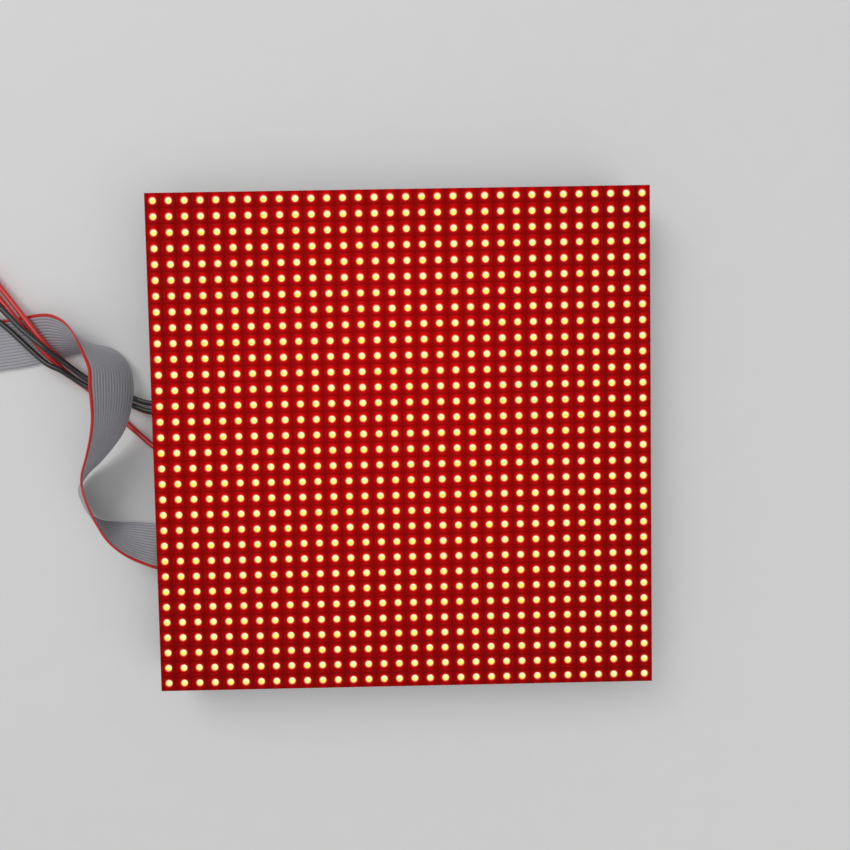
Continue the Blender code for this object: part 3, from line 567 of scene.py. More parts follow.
def lens_finish(settings):
    """The lit resin: pale at the top, yellow below, orange at the rim, each pixel a little different."""
    finish = Finish("led_lens")
    across, along = pixel_place(finish)
    luck = finish.chance((finish.x / (PITCH * MM)).whole(), (finish.y / (PITCH * MM)).whole())
    pale = along.step(-0.04, 0.165) + distance(across, along + 0.045).step(0.03, 0.2) * 0.3
    heart = finish.mix(luck, settings.heart_color, (0.92, 0.96, 0.26))
    lit = finish.mix(pale * (0.85 + luck * 0.3), heart, settings.core_color)
    rim = distance(across, along).step(0.165, 0.225)
    return finish.surface(
        base_color=finish.mix(rim, (0.05, 0.05, 0.02), (0.05, 0.01, 0.01)),
        roughness=0.25 + luck * 0.1,
        specular_ior_level=0.1,
        emission_color=finish.mix(rim, lit, settings.rim_color),
        emission_strength=1.0,
    )


def board_front_finish(settings):
    """Black solder mask between the packages, with their red light painted into its colour and painted on as
    a glow.
    """
    # Faintly red base colours: painted red light of the packages
    colors = ((0.01, 0.004, 0.004), (0.02, 0.006, 0.006))
    return grained_finish("board_front", 3000.0, colors, (0.35, 0.2), 0.01, glow=settings)


def board_back_finish(settings):
    """Green solder mask over copper tracks, with tinned vias."""
    finish = Finish("board_back")
    choice = finish.node("ShaderNodeSeparateXYZ", {}, {0: finish.cells(62.0).output("Color")})
    upright = choice > 0.5
    busy = choice.output("Y").step(0.35, 0.36)
    lines_x = abs(finish.x.wave(1.1 * MM) - 0.5).step(0.16, 0.22)
    lines_y = abs(finish.y.wave(1.1 * MM) - 0.5).step(0.16, 0.22)
    tracks = (upright * lines_x + (1 - upright) * lines_y) * busy
    pour = 1 - busy
    via = finish.cells(230.0)
    ring = 1 - via.step(0.11, 0.13)
    hole = 1 - via.step(0.05, 0.06)
    copper = (tracks * 0.8 + pour * 0.45).smaller(1.0)
    green = finish.mix(copper, settings.board_color, shade(settings.board_color, 2.3))
    tinned = finish.mix(ring, green, (0.55, 0.55, 0.5))
    return finish.surface(
        base_color=finish.mix(hole, tinned, (0.01, 0.01, 0.01)),
        roughness=0.25 + finish.noise(500.0) * 0.15,
        metallic=ring * (1 - hole) * 0.8,
        normal=finish.bump(tracks + pour + ring * 0.5 - hole, 0.03),
    )


def board_edge_finish():
    """Cut glass laminate: straw-coloured layers."""
    colors = ((0.32, 0.29, 0.13), (0.50, 0.46, 0.24))
    return grained_finish("board_edge", 900.0, colors, (0.6, 0.2), 0.02, stretch=(0.3, 0.3, 8.0))


def metal_finish(name, colors, roughness=0.28):
    """Plated or bare metal with fine handling marks."""
    finish = Finish(name)
    marks = finish.noise(900.0, 4.0)
    dull = finish.noise(150.0)
    return finish.surface(
        base_color=finish.mix(marks * 0.6 + dull * 0.4, *colors),
        roughness=roughness + dull * 0.18,
        metallic=1.0,
        normal=finish.bump(marks, 0.008),
    )


def epoxy_finish(name, base):
    """Moulding compound of chips: dark, with fine filler specks."""
    finish = Finish(name)
    specks = finish.noise(4200.0)
    return finish.surface(
        base_color=finish.mix(specks.step(0.55, 0.75), base, shade(base, 2.2)),
        roughness=0.5 + specks * 0.2,
        normal=finish.bump(specks, 0.012),
    )


def can_finish():
    """Drawn aluminium can with a dark sector on its end that marks the negative lead."""
    finish = Finish("capacitor_can")
    drawn = finish.noise(700.0, 3.0, (1.0, 1.0, 0.12))
    end = finish.z < (box_of("capacitor_1")[0].z + 0.45) * MM
    marked = end * (finish.x < (middle_of("capacitor_1").x - 1.5) * MM)
    bare = finish.mix(drawn, (0.55, 0.55, 0.57), (0.78, 0.78, 0.79))
    return finish.surface(
        base_color=finish.mix(marked, bare, (0.02, 0.02, 0.022)),
        roughness=0.22 + drawn * 0.16,
        metallic=1 - marked,
        normal=finish.bump(drawn, 0.01),
    )


def nylon_finish():
    """Natural nylon: milky, with faint sinks."""
    finish = Finish("white_nylon")
    cloud = finish.noise(120.0, 4.0)
    grain = finish.noise(2400.0)
    return finish.surface(
        base_color=finish.mix(cloud, (0.72, 0.69, 0.60), (0.82, 0.80, 0.73)),
        roughness=0.34 + grain * 0.14,
        normal=finish.bump(grain + cloud, 0.015),
    )


def ribbon_finish(settings):
    """Grey ribbon with one red edge conductor. The map's U runs across the ribbon."""
    finish = Finish("ribbon_grey")
    place = finish.node("ShaderNodeTexCoord").output("UV")
    across = finish.node("ShaderNodeSeparateXYZ", {}, {0: place})
    # Painted shade: the grey is darker in the valleys between conductors
    valley_shade = abs(across.wave(1 / CONDUCTORS) - 0.5).step(0.36, 0.5)
    scuffs = finish.noise(420.0, 5.0)
    ink = finish.noise(1500.0)
    stripe = across.step(1 - 1.06 / CONDUCTORS, 1 - 0.94 / CONDUCTORS) * (1 - ink.step(0.66, 0.74) * 0.5)
    grey = finish.mix(scuffs, settings.ribbon_color, shade(settings.ribbon_color, 1.25))
    grey = finish.mix(valley_shade * 0.55, grey, shade(settings.ribbon_color, 0.45))
    return finish.surface(
        base_color=finish.mix(stripe, grey, settings.stripe_color),
        roughness=0.36 + scuffs * 0.2,
        coat_weight=0.12 + scuffs * 0.1,
        normal=finish.bump(ink, 0.012),
    )


def sleeving_finish(name, color):
    """Soft glossy vinyl of a wire or a terminal sleeve."""
    finish = Finish(name)
    haze = finish.noise(350.0, 4.0)
    pale = [value + 0.01 for value in shade(color, 1.5)]
    return finish.surface(
        base_color=finish.mix(haze * 0.6, color, pale),
        roughness=0.26 + haze * 0.2,
        coat_weight=0.15 + haze * 0.1,
        normal=finish.bump(finish.noise(900.0, 2.0), 0.02),
    )


# Pieces

def add_windows(bm, height, insets):
    """A sheet with a window in each pixel, whose rim is shaped by insets of (width, depth)."""
    before = set(bm.faces)
    bmesh.ops.create_grid(bm, x_segments=PIXELS, y_segments=PIXELS, size=PIXELS / 2 * PITCH,
                          matrix=Matrix.Translation((0, 0, height)))
    cells = [face for face in bm.faces if face not in before]
    for width, depth in insets:
        bmesh.ops.inset_individual(bm, faces=cells, thickness=width, depth=depth, use_even_offset=True)
    bmesh.ops.delete(bm, geom=cells, context="FACES")


def build_mask(settings):
    """Windowed mask: raised land round each window, with fine grooves between pixels."""
    window = settings.window / MM
    groove = settings.groove_width / MM
    depth = settings.groove_depth / MM
    wall_draught = 0.04
    bm = bmesh.new()
    add_windows(bm, MASK_FACE - depth, (
        (groove / 2, depth),
        ((PITCH - groove - window) / 2 - MASK_LIP, 0.0),
        (MASK_LIP, -MASK_LIP_DROP),
        (wall_draught, MASK_BACK - MASK_FACE + MASK_LIP_DROP),
    ))
    rim = [edge for edge in bm.edges if edge.is_boundary and edge.verts[0].co.z > MASK_FACE - 1]
    for vert in extrude(bm, rim)[0]:
        vert.co.z = MASK_BACK
    add_windows(bm, MASK_BACK, [((PITCH - window) / 2 + wall_draught, 0.0)])
    for vert in bm.verts:
        vert.co.x = max(-HALF, min(HALF, vert.co.x))
        vert.co.y = max(-HALF, min(HALF, vert.co.y))
    bmesh.ops.remove_doubles(bm, verts=bm.verts, dist=0.004)
    for face in bm.faces:
        middle = face.calc_center_median()
        outer = max(abs(middle.x), abs(middle.y)) > HALF - 0.02
        face.material_index = int(outer or middle.z < MASK_BACK + 0.01)

    foot = box_of("mask")[0].z
    boss = turned(((1.1, foot), (1.7, foot), (1.7, MASK_BACK), (1.1, MASK_BACK), (1.1, foot)), 20)
    add_copies(bm, mesh_of("boss", boss), [(x, y, 0, 0) for x, y in BORED])
    side = black_plastic_finish("mask_side", 5200.0, (0.012, 0.011, 0.011))
    piece_of("window_mask", bm, [mask_face_finish(settings), side], ["mask"])


def build_packages(settings):
    """1,024 surface-mounted LED packages: square moulding, round lit lens, one cut corner."""
    bm = bmesh.new()
    bmesh.ops.create_circle(bm, cap_ends=True, segments=16, radius=settings.lens / MM / 2,
                            matrix=Matrix.Translation((0, 0, LED_FACE)))
    lens = bm.faces[:]
    outline, edges = extrude(bm, bm.edges[:])
    for vert in outline:
        vert.co.xy *= PACKAGE_HALF / max(abs(vert.co.x), abs(vert.co.y))
        if min(abs(vert.co.x), abs(vert.co.y)) > 0.9 * PACKAGE_HALF:
            vert.co.xy *= 0.86 if vert.co.x > 0 and vert.co.y > 0 else 0.95
    foot, edges = extrude(bm, edges)
    bmesh.ops.translate(bm, verts=foot, vec=(0, 0, BOARD_FRONT - LED_FACE))
    bmesh.ops.contextual_create(bm, geom=edges)
    bmesh.ops.inset_region(bm, faces=lens, thickness=0.12, depth=-0.3, use_even_offset=True)
    lens[0].material_index = 1
    bmesh.ops.translate(bm, verts=bm.verts, vec=(FIRST, FIRST, 0))
    repeat(bm, PIXELS, (PITCH, 0, 0))
    repeat(bm, PIXELS, (0, PITCH, 0))
    piece_of("led_packages", bm, [package_finish(settings), lens_finish(settings)])


def build_board(settings):
    """The board itself, black in front and green behind, with its holes."""
    edge = box_of("led_board")[1].x
    bm = bmesh.new()
    add_box(bm, (-edge, edge), (-edge, edge), (BOARD_BACK, BOARD_FRONT))
    tool = bmesh.new()
    for places, radius in ((BORED, BORE_RADIUS), (PINNED, PIN_RADIUS)):
        for place in places:
            add_cylinder(tool, place, radius, (BOARD_BACK - OPENED, BOARD_FRONT + OPENED))
    bm = carve(bm, tool)
    bm.normal_update()
    for face in bm.faces:
        face.material_index = 0 if face.normal.z > 0.5 else 1 if face.normal.z < -0.5 else 2
    finishes = [board_front_finish(settings), board_back_finish(settings), board_edge_finish()]
    piece_of("circuit_board", bm, finishes, ["led_board"], smooth=False)


def chip_unit(length, width, height, pins, pitch, lead_width):
    """A moulded package that hangs under the board at z = 0, with gull-wing leads and a pin-one dot."""
    middle = -CHIP_GAP - height / 2
    under = -CHIP_GAP - height
    bm = bmesh.new()
    add_box(bm, around(0, length), around(0, width), around(middle, height))
    cut = bmesh.ops.bisect_plane(bm, geom=bm.verts[:] + bm.edges[:] + bm.faces[:],
                                 plane_co=(0, 0, middle), plane_no=(0, 0, 1))["geom_cut"]
    waist = set(verts_in(cut))
    ends = [vert for vert in bm.verts if vert not in waist]
    bmesh.ops.scale(bm, verts=ends, vec=(1 - 2 * CHIP_DRAUGHT / length, 1 - 2 * CHIP_DRAUGHT / width, 1))
    bevel_edges(bm, [edge for edge in bm.edges if waist.isdisjoint(edge.verts)], 0.09, 2)
    add_cylinder(bm, (0.95 - length / 2, 0.95 - width / 2), 0.38, (under - 0.01, under + 0.1), 16, 2)

    lead = bmesh.new()
    root = around(-(pins - 1) / 2 * pitch, lead_width)
    edges = [lead.edges.new([lead.verts.new((x, width / 2 - 0.15, middle)) for x in root])]
    for reach, rise in ((0.4, 0.0), (0.16, 0.1), (0.14, -middle - 0.32), (0.16, 0.13), (0.5, 0.0)):
        moved, edges = extrude(lead, edges)
        bmesh.ops.translate(lead, verts=moved, vec=(0, reach, rise))
    bmesh.ops.recalc_face_normals(lead, faces=lead.faces)
    bmesh.ops.solidify(lead, geom=lead.faces[:], thickness=0.14)
    paint(lead.verts, 1)
    places = [(side * number * pitch, 0, 0, 90 - 90 * side) for number in range(pins) for side in (1, -1)]
    add_copies(bm, mesh_of("lead", lead), places)
    return mesh_of("chip", bm)


def build_chips():
    """Driver, switch, buffer and decoder chips where the solids are."""
    finishes = [epoxy_finish("chip_epoxy", (0.018, 0.018, 0.020)), metal_finish("lead_tin", TINNED),
                epoxy_finish("chip_mark", (0.10, 0.10, 0.10))]
    for name, start, sizes, degrees in (
        ("driver_chips", "led_driver_", (8.7, 3.9, 1.5, 12, 0.635, 0.28), 0),
        ("switch_chips", "row_switch_", (4.9, 3.9, 1.5, 4, 1.27, 0.42), 0),
        ("buffer_chips", "line_buffer_", (12.8, 7.5, 2.2, 10, 1.27, 0.42), 90),
        ("decoder_chips", "row_decoder_", (9.9, 3.9, 1.5, 8, 1.27, 0.42), 0),
    ):
        piece_of_copies(name, chip_unit(*sizes), start, finishes, BOARD_BACK, degrees)


def small_part_places():
    """Places round the chips, first of the capacitors and then of the resistors."""
    ceramic, resistors = [], []
    for spot in map(middle_of, nodes_named("led_driver_")):
        inner = spot.y - math.copysign(5.6, spot.y)
        ceramic.append((spot.x - 2.6, inner, BOARD_BACK, 0))
        resistors.append((spot.x + 2.2, inner, BOARD_BACK, 90))
    for spot in map(middle_of, nodes_named("row_switch_")):
        ceramic.append((spot.x, spot.y - 5.2, BOARD_BACK, 0))
    for spot in map(middle_of, nodes_named("line_buffer_")):
        for y in row(spot.y, 4, 2.8):
            resistors.append((spot.x - math.copysign(7.6, spot.x), y, BOARD_BACK, 0))
        ceramic.append((spot.x + math.copysign(6.6, spot.x), spot.y, BOARD_BACK, 90))
    for spot in map(middle_of, nodes_named("row_decoder_")):
        ceramic.append((spot.x, spot.y - 5.4, BOARD_BACK, 0))
        resistors.append((spot.x + 3.0, spot.y + 5.4, BOARD_BACK, 0))
    for x, y in ((24.0, 34.0), (27.0, 34.0), (30.0, 34.0), (48.0, 20.0), (48.0, 23.0), (62.0, 38.0)):
        resistors.append((x, y, BOARD_BACK, 90))
        ceramic.append((-x, y + 14.0, BOARD_BACK, 90))
    return ceramic, resistors


def build_small_parts():
    """Chip capacitors and resistors round the chips, soldered to the board's back."""
    bm = bmesh.new()
    half, width, height = 0.8, 0.8, 0.5
    add_box(bm, (0.3 - half, half - 0.3), around(0, width), (-height, -0.04), 0, 0.05)
    for side in (-1, 1):
        cap = (side * (half - 0.34), side * half)
        add_box(bm, cap, around(0, width + 0.04), (-height - 0.02, 0), 1, 0.06)
        fillet = (side * (half - 0.1), side * (half + 0.12))
        add_box(bm, fillet, around(0, width), (-0.2, 0), 1, 0.05)
    unit = mesh_of("small_part", bm)
    ceramic, resistors = small_part_places()
    tin = metal_finish("solder", SOLDER)
    for name, places, body, colors in (
        ("ceramic_capacitors", ceramic, "tan_ceramic", ((0.30, 0.20, 0.11), (0.38, 0.26, 0.15))),
        ("chip_resistors", resistors, "black_glaze", ((0.02, 0.02, 0.024), (0.04, 0.04, 0.05))),
    ):
        bm = bmesh.new()
        add_copies(bm, unit, places)
        piece_of(name, bm, [grained_finish(body, 2600.0, colors, (0.35, 0.2), 0.01), tin])


def build_cans():
    """Two aluminium capacitor cans on their black bases."""
    low, high = box_of("capacitor_1")
    radius = (high.x - low.x) / 2
    base = high.z - 1.2
    bm = turned((
        (0, low.z + 0.05), (radius - 0.75, low.z + 0.05), (radius - 0.6, low.z),
        (radius - 0.25, low.z + 0.08), (radius, low.z + 0.4), (radius, base - 1.5),
        (radius - 0.1, base - 1.25), (radius - 0.32, base - 1.0), (radius - 0.1, base - 0.75),
        (radius, base - 0.5), (radius, base + 0.1), (0, base + 0.1),
    ), 40)
    edge = radius + 0.1
    foot = add_box(bm, (-edge, edge), (-edge, edge), (base, BOARD_BACK), 1)
    bevel_edges(bm, uprights_at([vert for vert in foot if vert.co.x < 0]), 1.0)
    for y in (-edge, edge):
        add_box(bm, around(0, 0.8), around(y, 1.0), (BOARD_BACK - 0.3, BOARD_BACK), 2)
    finishes = [can_finish(), black_plastic_finish("can_base", 4000.0), metal_finish("can_lead", TINNED)]
    piece_of_copies("capacitor_cans", mesh_of("can", bm), "capacitor_", finishes)


def build_headers():
    """Two shrouded 16-pin headers, each with its key slot and gilded pins."""
    plastic = black_plastic_finish("header_plastic", 3600.0, (0.02, 0.02, 0.022))
    gold = metal_finish("gilded_pin", ((0.70, 0.50, 0.18), (0.90, 0.70, 0.34)), 0.18)
    wall, pin_width = 1.25, 0.64
    for node in ("data_in_header", "data_out_header"):
        low, high = box_of(node)
        middle = (low + high) / 2
        key = -math.copysign(1.0, middle.x)
        mouth = low.z - OPENED
        floor = low.z + 6.4
        bm = bmesh.new()
        add_box(bm, (low.x, high.x), (low.y, high.y), (low.z, BOARD_BACK - 0.05), 0, 0.15)
        tool = bmesh.new()
        add_box(tool, (low.x + wall, high.x - wall), (low.y + wall, high.y - wall), (mouth, floor))
        add_box(tool, (middle.x + 3 * key, middle.x + 6 * key), around(middle.y, 4.5), (mouth, floor - 0.3))
        bm = carve(bm, tool)
        for y in row(middle.y, 2, 0.76 * (high.y - low.y)):
            add_box(bm, (low.x - 0.12, high.x + 0.12), around(y, 1.0), (low.z + 0.8, BOARD_BACK - 1), 0, 0.1)
        for x, y in data_grid(middle):
            heights = (floor - 5.6, floor + 0.3)
            pin = add_box(bm, around(x, pin_width), around(y, pin_width), heights, 1)
            tips = [vert for vert in pin if vert.co.z < floor - 5]
            end = next(face for face in tips[0].link_faces if all(vert in tips for vert in face.verts))
            bmesh.ops.inset_region(bm, faces=[end], thickness=0.14, depth=0.0)
            bmesh.ops.translate(bm, verts=tips, vec=(0, 0, 0.35))
        piece_of(node.replace("data", "box"), bm, [plastic, gold], [node])


def build_ribbon_plug(node, finishes):
    """A 16-way socket of the ribbon: block, cover, latches, key and contact holes."""
    low, high = box_of(node)
    middle = (low + high) / 2
    split = low.z + 2.6
    bm = bmesh.new()
    add_box(bm, (low.x, high.x), (low.y + 0.18, high.y - 0.18), (split + 0.1, high.z), 0, 0.2)
    tool = bmesh.new()
    for x, y in data_grid(middle):
        add_box(tool, around(x, 0.84), around(y, 0.84), (high.z - 2.5, high.z + OPENED))
    for x in (low.x, high.x):
        for y in row(middle.y, DATA_COUNT, DATA_STEP):
            add_box(tool, around(x, 0.36), around(y, 1.4), (high.z - 5.2, high.z - 3.2))
    bm = carve(bm, tool)
    # Painted shade: the floors of the contact holes take the near-black second finish
    for face in bm.faces:
        spot = face.calc_center_median()
        within = abs(spot.x - middle.x) < 2 and high.z - 3 < spot.z < high.z - 2.4
        face.material_index = int(within and abs(face.normal.z) > 0.9)
    add_box(bm, (low.x + 0.35, high.x - 0.35), (low.y + 0.7, high.y - 0.7), (low.z, split), 0, 0.35)
    for y in row(middle.y, DATA_COUNT, DATA_STEP):
        add_box(bm, (low.x + 0.9, high.x - 0.9), around(y, 0.9), (low.z - 0.05, low.z + 0.4), 0, 0.08)
    for latch in ((low.y, low.y + 1.5), (high.y - 1.5, high.y)):
        add_box(bm, around(middle.x, 3.2), latch, (low.z + 0.5, high.z - 6.3), 0, 0.15)
    add_box(bm, (high.x - 0.1, high.x + 0.55), around(middle.y, 3.8), (split + 0.8, high.z - 0.6), 0, 0.15)
    return piece_of(f"ribbon_{node}", bm, finishes, [node])


def build_ribbon(settings):
    """Grey 16-way ribbon, ridged over each conductor, swept between its two edges."""
    overlap = 1.0
    plain = smooth_points(PLAIN_EDGE, 6, overlap, overlap)
    striped = smooth_points(STRIPED_EDGE, 6, overlap, overlap)
    shares, ridges = [], []
    per = 6
    for number in range(CONDUCTORS * per + 1):
        shares.append(number / (CONDUCTORS * per))
        ridges.append(0.20 + 0.24 * math.sin(math.pi * (number % per / per)) ** 0.6)
    bm = bmesh.new()
    layer = bm.loops.layers.uv.new("across")
    rings, centres = [], []
    for index, (first, second) in enumerate(zip(plain, striped)):
        after = min(index + 1, len(plain) - 1)
        before = max(index - 1, 0)
        across = (second - first).normalized() * RIBBON_WIDTH
        along = (plain[after] + striped[after] - plain[before] - striped[before]).normalized()
        up = along.cross(across).normalized()
        centres.append(first + across / 2)
        top = [bm.verts.new(first + across * u + up * h) for u, h in zip(shares, ridges)]
        bottom = [bm.verts.new(first + across * u - up * h) for u, h in zip(shares, ridges)]
        rings.append(top + bottom[::-1])
    total = len(rings[0])
    share_of = shares + shares[::-1]
    for number, (first, second) in enumerate(zip(rings, rings[1:])):
        for i in range(total):
            j = (i + 1) % total
            face = bm.faces.new((first[i], first[j], second[j], second[i]))
            for loop, u, v in zip(face.loops, (i, j, j, i), (number, number, number + 1, number + 1)):
                loop[layer].uv = (share_of[u], v / len(rings))
    for ring in (rings[0], rings[-1]):
        for i in range(len(shares) - 1):
            face = bm.faces.new((ring[i], ring[i + 1], ring[total - 2 - i], ring[total - 1 - i]))
            for loop, u in zip(face.loops, (i, i + 1, i + 1, i)):
                loop[layer].uv = (shares[u], 0.0)
    ribbon = piece_of("ribbon", bm, [ribbon_finish(settings)], ["ribbon_cable"])
    path = [point * MM for point in centres]
    exit_point = path[0] - Vector((overlap * MM, 0, 0))
    length_of(path)


def build_power_socket():
    """White four-way power socket, open at the side, with its square pins."""
    low, high = box_of("power_socket")
    middle = (low + high) / 2
    pin = 1.14
    bm = bmesh.new()
    add_box(bm, (low.x, high.x), (low.y, high.y), (low.z, BOARD_BACK - 0.05), 0, 0.25)
    tool = bmesh.new()
    add_box(tool, (low.x - OPENED, high.x - 2), (low.y + 1, high.y - 1), (low.z + 1, high.z - 1))
    for y in row(middle.y, 2, POWER_GUIDES):
        add_box(tool, (low.x - OPENED, low.x + 3.2), around(y, 1.8), (low.z - OPENED, low.z + 1.5))
    bm = carve(bm, tool)
    for y in row(middle.y, POWER_COUNT, POWER_STEP):
        for x, z in (
            ((low.x + 0.8, high.x - 1), around(middle.z, pin)),
            ((high.x - 0.6, high.x + 1.6), around(middle.z, pin)),
            ((high.x + 0.5, high.x + 1.6), (middle.z, BOARD_BACK)),
        ):
            add_box(bm, x, around(y, pin), z, 1, 0.12)
    finishes = [nylon_finish(), metal_finish("power_pin", SOLDER)]
    piece_of("power_inlet", bm, finishes, ["power_socket"])


def build_power_plug():
    """White four-way plug with wire entries, terminal windows and a latch."""
    low, high = box_of("power_plug")
    middle = (low + high) / 2
    shoulder = box_of("power_socket")[0].x - 0.3
    bm = bmesh.new()
    add_box(bm, (low.x, shoulder), (low.y + 0.3, high.y - 0.3), (low.z + 0.25, high.z - 0.25), 0, 0.3)
    add_box(bm, (shoulder - 0.5, high.x), (low.y + 1.35, high.y - 1.35), around(middle.z, 5.8), 0, 0.25)
    ways = row(middle.y, POWER_COUNT, POWER_STEP)
    tool = bmesh.new()
    for y in ways:
        add_box(tool, (low.x - OPENED, low.x + 4.5), around(y, 2.7), around(middle.z, 2.7))
        add_box(tool, (low.x + 5.8, low.x + 9.6), around(y, 1.6), (low.z - OPENED, low.z + 2.2))
    for y in row(middle.y, POWER_COUNT - 1, POWER_STEP):
        add_box(tool, (low.x + 1.5, shoulder - 1.5), around(y, 0.5), (low.z - OPENED, low.z + 0.6))
    bm = carve(bm, tool)
    for y in ways:
        add_box(bm, (low.x + 2.2, low.x + 4.4), around(y, 1.8), around(middle.z, 1.9), 1, 0.3)
        add_box(bm, (low.x + 6.0, low.x + 9.4), around(y, 1.1), (low.z + 1.2, low.z + 2.1), 1, 0.15)
    for y in row(middle.y, 2, POWER_GUIDES):
        add_box(bm, (low.x + 7, shoulder + 2.4), around(y, 1.4), (low.z - 0.2, low.z + 0.6), 0, 0.15)
    finishes = [nylon_finish(), metal_finish("crimp_tin", ((0.60, 0.58, 0.55), (0.80, 0.78, 0.74)))]
    piece_of("power_lead_plug", bm, finishes, ["power_plug"])


def add_sleeve(bm, end, half_width, half_height):
    """A flared vinyl sleeve along X, with two crimped waists and a hollow mouth at its end."""
    facing = Matrix.Translation((end, 0, 0)) @ Matrix.Rotation(-TURN / 4, 4, "Y")
    bmesh.ops.create_circle(bm, cap_ends=True, segments=28, radius=1.0, matrix=facing)
    for vert in bm.verts:
        angle = math.atan2(vert.co.z, vert.co.y)
        vert.co.y = half_width * math.copysign(abs(math.cos(angle)) ** 0.75, math.cos(angle))
        vert.co.z = half_height * math.sin(angle)
    bm.normal_update()
    mouth = bm.faces[:]
    rim = bm.edges[:]
    size = 1.0
    for reach, next_size in (
        (0.5, 1.0), (2.2, 0.97), (3.6, 0.93), (4.2, 0.80), (6.0, 0.78), (6.6, 0.92),
        (8.4, 0.92), (9.6, 0.88), (10.8, 0.84), (11.0, 0.78),
    ):
        verts, rim = extrude(bm, rim)
        for vert in verts:
            vert.co.x = end - reach
        bmesh.ops.scale(bm, verts=verts, vec=(1, next_size / size, next_size / size))
        size = next_size
    bmesh.ops.contextual_create(bm, geom=rim)
    bmesh.ops.inset_region(bm, faces=mouth, thickness=0.45, depth=0.0, use_even_offset=True)
    bmesh.ops.translate(bm, verts=mouth[0].verts[:], vec=(-1.2, 0, 0))


def build_terminal(name, sleeve_color):
    """A fork terminal: vinyl sleeve, crimped barrel and a tinned tongue with an open slot."""
    node = f"{name}_terminal"
    low, high = box_of(node)
    middle = (low + high) / 2
    sleeve_end = high.x - 11
    half_slot = 2.15
    bm = bmesh.new()
    add_sleeve(bm, high.x, 3.2, 2.2)
    tongue = bmesh.new()
    add_box(tongue, (low.x, sleeve_end - 0.3), (-4.2, 4.2), (-0.4, 0.4))
    bevel_edges(tongue, uprights_at(tongue.verts), 2.4, 5)
    tool = bmesh.new()
    slot_end = low.x + 12 - 2 * half_slot
    add_box(tool, (low.x - OPENED, slot_end), (-half_slot, half_slot), (-1, 1))
    add_cylinder(tool, (slot_end, 0), half_slot, (-1.1, 1.1), 32)
    tongue = carve(tongue, tool)
    sharp = [edge for edge in tongue.edges if edge.is_manifold and edge.calc_face_angle(0) > 1.0]
    bevel_edges(tongue, sharp, 0.08)
    add_box(tongue, (sleeve_end - 1.4, sleeve_end + 1.5), (-1.9, 1.9), (-0.9, 0.9), 0, 0.4)
    paint(tongue.verts, 1)
    add_copies(bm, mesh_of("tongue", tongue), [(0, 0, 0, 0)])
    bmesh.ops.translate(bm, verts=bm.verts, vec=(0, middle.y, middle.z))
    finishes = [sleeving_finish(f"{name}_sleeve", sleeve_color),
                metal_finish(f"{name}_tin", ((0.62, 0.60, 0.56), (0.82, 0.80, 0.76)))]
    return piece_of(name, bm, finishes, [node])


def build_wires(settings):
    """Two red and two black wires from the power plug to the fork terminals."""
    colors = {"red": settings.red_color, "black": settings.black_color}
    finishes = {kind: sleeving_finish(f"{kind}_vinyl", color) for kind, color in colors.items()}
    for node, route in WIRES.items():
        kind = node.split("_")[0]
        points = [point * MM for point in smooth_points(route, 8, 2.6, 2.0)]
        curve = bpy.data.curves.new(node, "CURVE")
        curve.dimensions = "3D"
        curve.bevel_depth = WIRE_RADIUS * MM
        curve.bevel_resolution = 5
        curve.use_fill_caps = True
        line = curve.splines.new("POLY")
        line.points.add(len(points) - 1)
        for target, point in zip(line.points, points):
            target.co = (*point, 1.0)
        line.use_smooth = True
        curve.materials.append(finishes[kind])
        wire = add_object(node.replace("wire", "lead"), curve)
        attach(wire, "root")
        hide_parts(node)
        length_of(points)


def build_screws():
    """Nine plated self-tapping screws with cross recesses, heads down in their posts."""
    low, high = box_of("screw_1")
    radius = (high.x - low.x) / 2
    core, crest = 0.72, 0.9
    seat = low.z + 1.3
    profile = [(0, low.z), (radius * 0.5, low.z + 0.03), (radius * 0.8, low.z + 0.2),
               (radius * 0.97, low.z + 0.6), (radius, low.z + 0.95), (radius, seat), (core, seat)]
    height = seat + 0.3
    while height < high.z - 1.5:
        profile += [(core, height), (crest, height + 0.2), (core, height + 0.4)]
        height += 0.7
    profile.append((0, high.z))
    tool = bmesh.new()
    for across, along in ((2.3, 0.52), (0.52, 2.3)):
        arm = add_box(tool, around(0, across), around(0, along), (low.z - OPENED, low.z + 0.75))
        bmesh.ops.scale(tool, verts=[vert for vert in arm if vert.co.z > low.z], vec=(0.55, 0.55, 1))
    unit = mesh_of("screw", carve(turned(profile, 20), tool))
    steel = metal_finish("plated_steel", ((0.42, 0.42, 0.43), (0.66, 0.66, 0.67)))
    piece_of_copies("fixing_screws", unit, "screw_", [steel])


def build_inserts():
    """Six knurled brass thread inserts."""
    low, high = box_of("thread_insert_1")
    radius = (high.x - low.x) / 2
    third = (high.z - low.z) / 3
    groove = radius - 0.4
    crest, root = 1.25, 1.5
    profile = [(root, low.z), (radius - 0.15, low.z), (radius, low.z + 0.2), (radius, low.z + third),
               (groove, low.z + third + 0.2), (groove, high.z - third - 0.2), (radius, high.z - third),
               (radius, high.z)]
    height = high.z
    while height > low.z + 0.6:
        profile += [(crest, height), (root, height - 0.25)]
        height -= 0.5
    profile += [(crest, low.z + 0.25), profile[0]]
    steps = 48
    bm = turned(profile, steps)
    for vert in bm.verts:
        reach = vert.co.xy.length
        number = round(math.atan2(vert.co.y, vert.co.x) / TURN * steps)
        if reach > radius - 0.05 and number % 2:
            vert.co.xy *= (radius - 0.14) / reach
    brass = metal_finish("brass", ((0.62, 0.42, 0.16), (0.86, 0.65, 0.32)), 0.24)
    piece_of_copies("brass_inserts", mesh_of("insert", bm), "thread_insert_", [brass])


def finish_frame():
    """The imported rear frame, in black moulded plastic."""
    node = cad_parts["rear_frame"]
    node.data.materials.clear()
    node.data.materials.append(black_plastic_finish("frame_plastic", 2800.0))


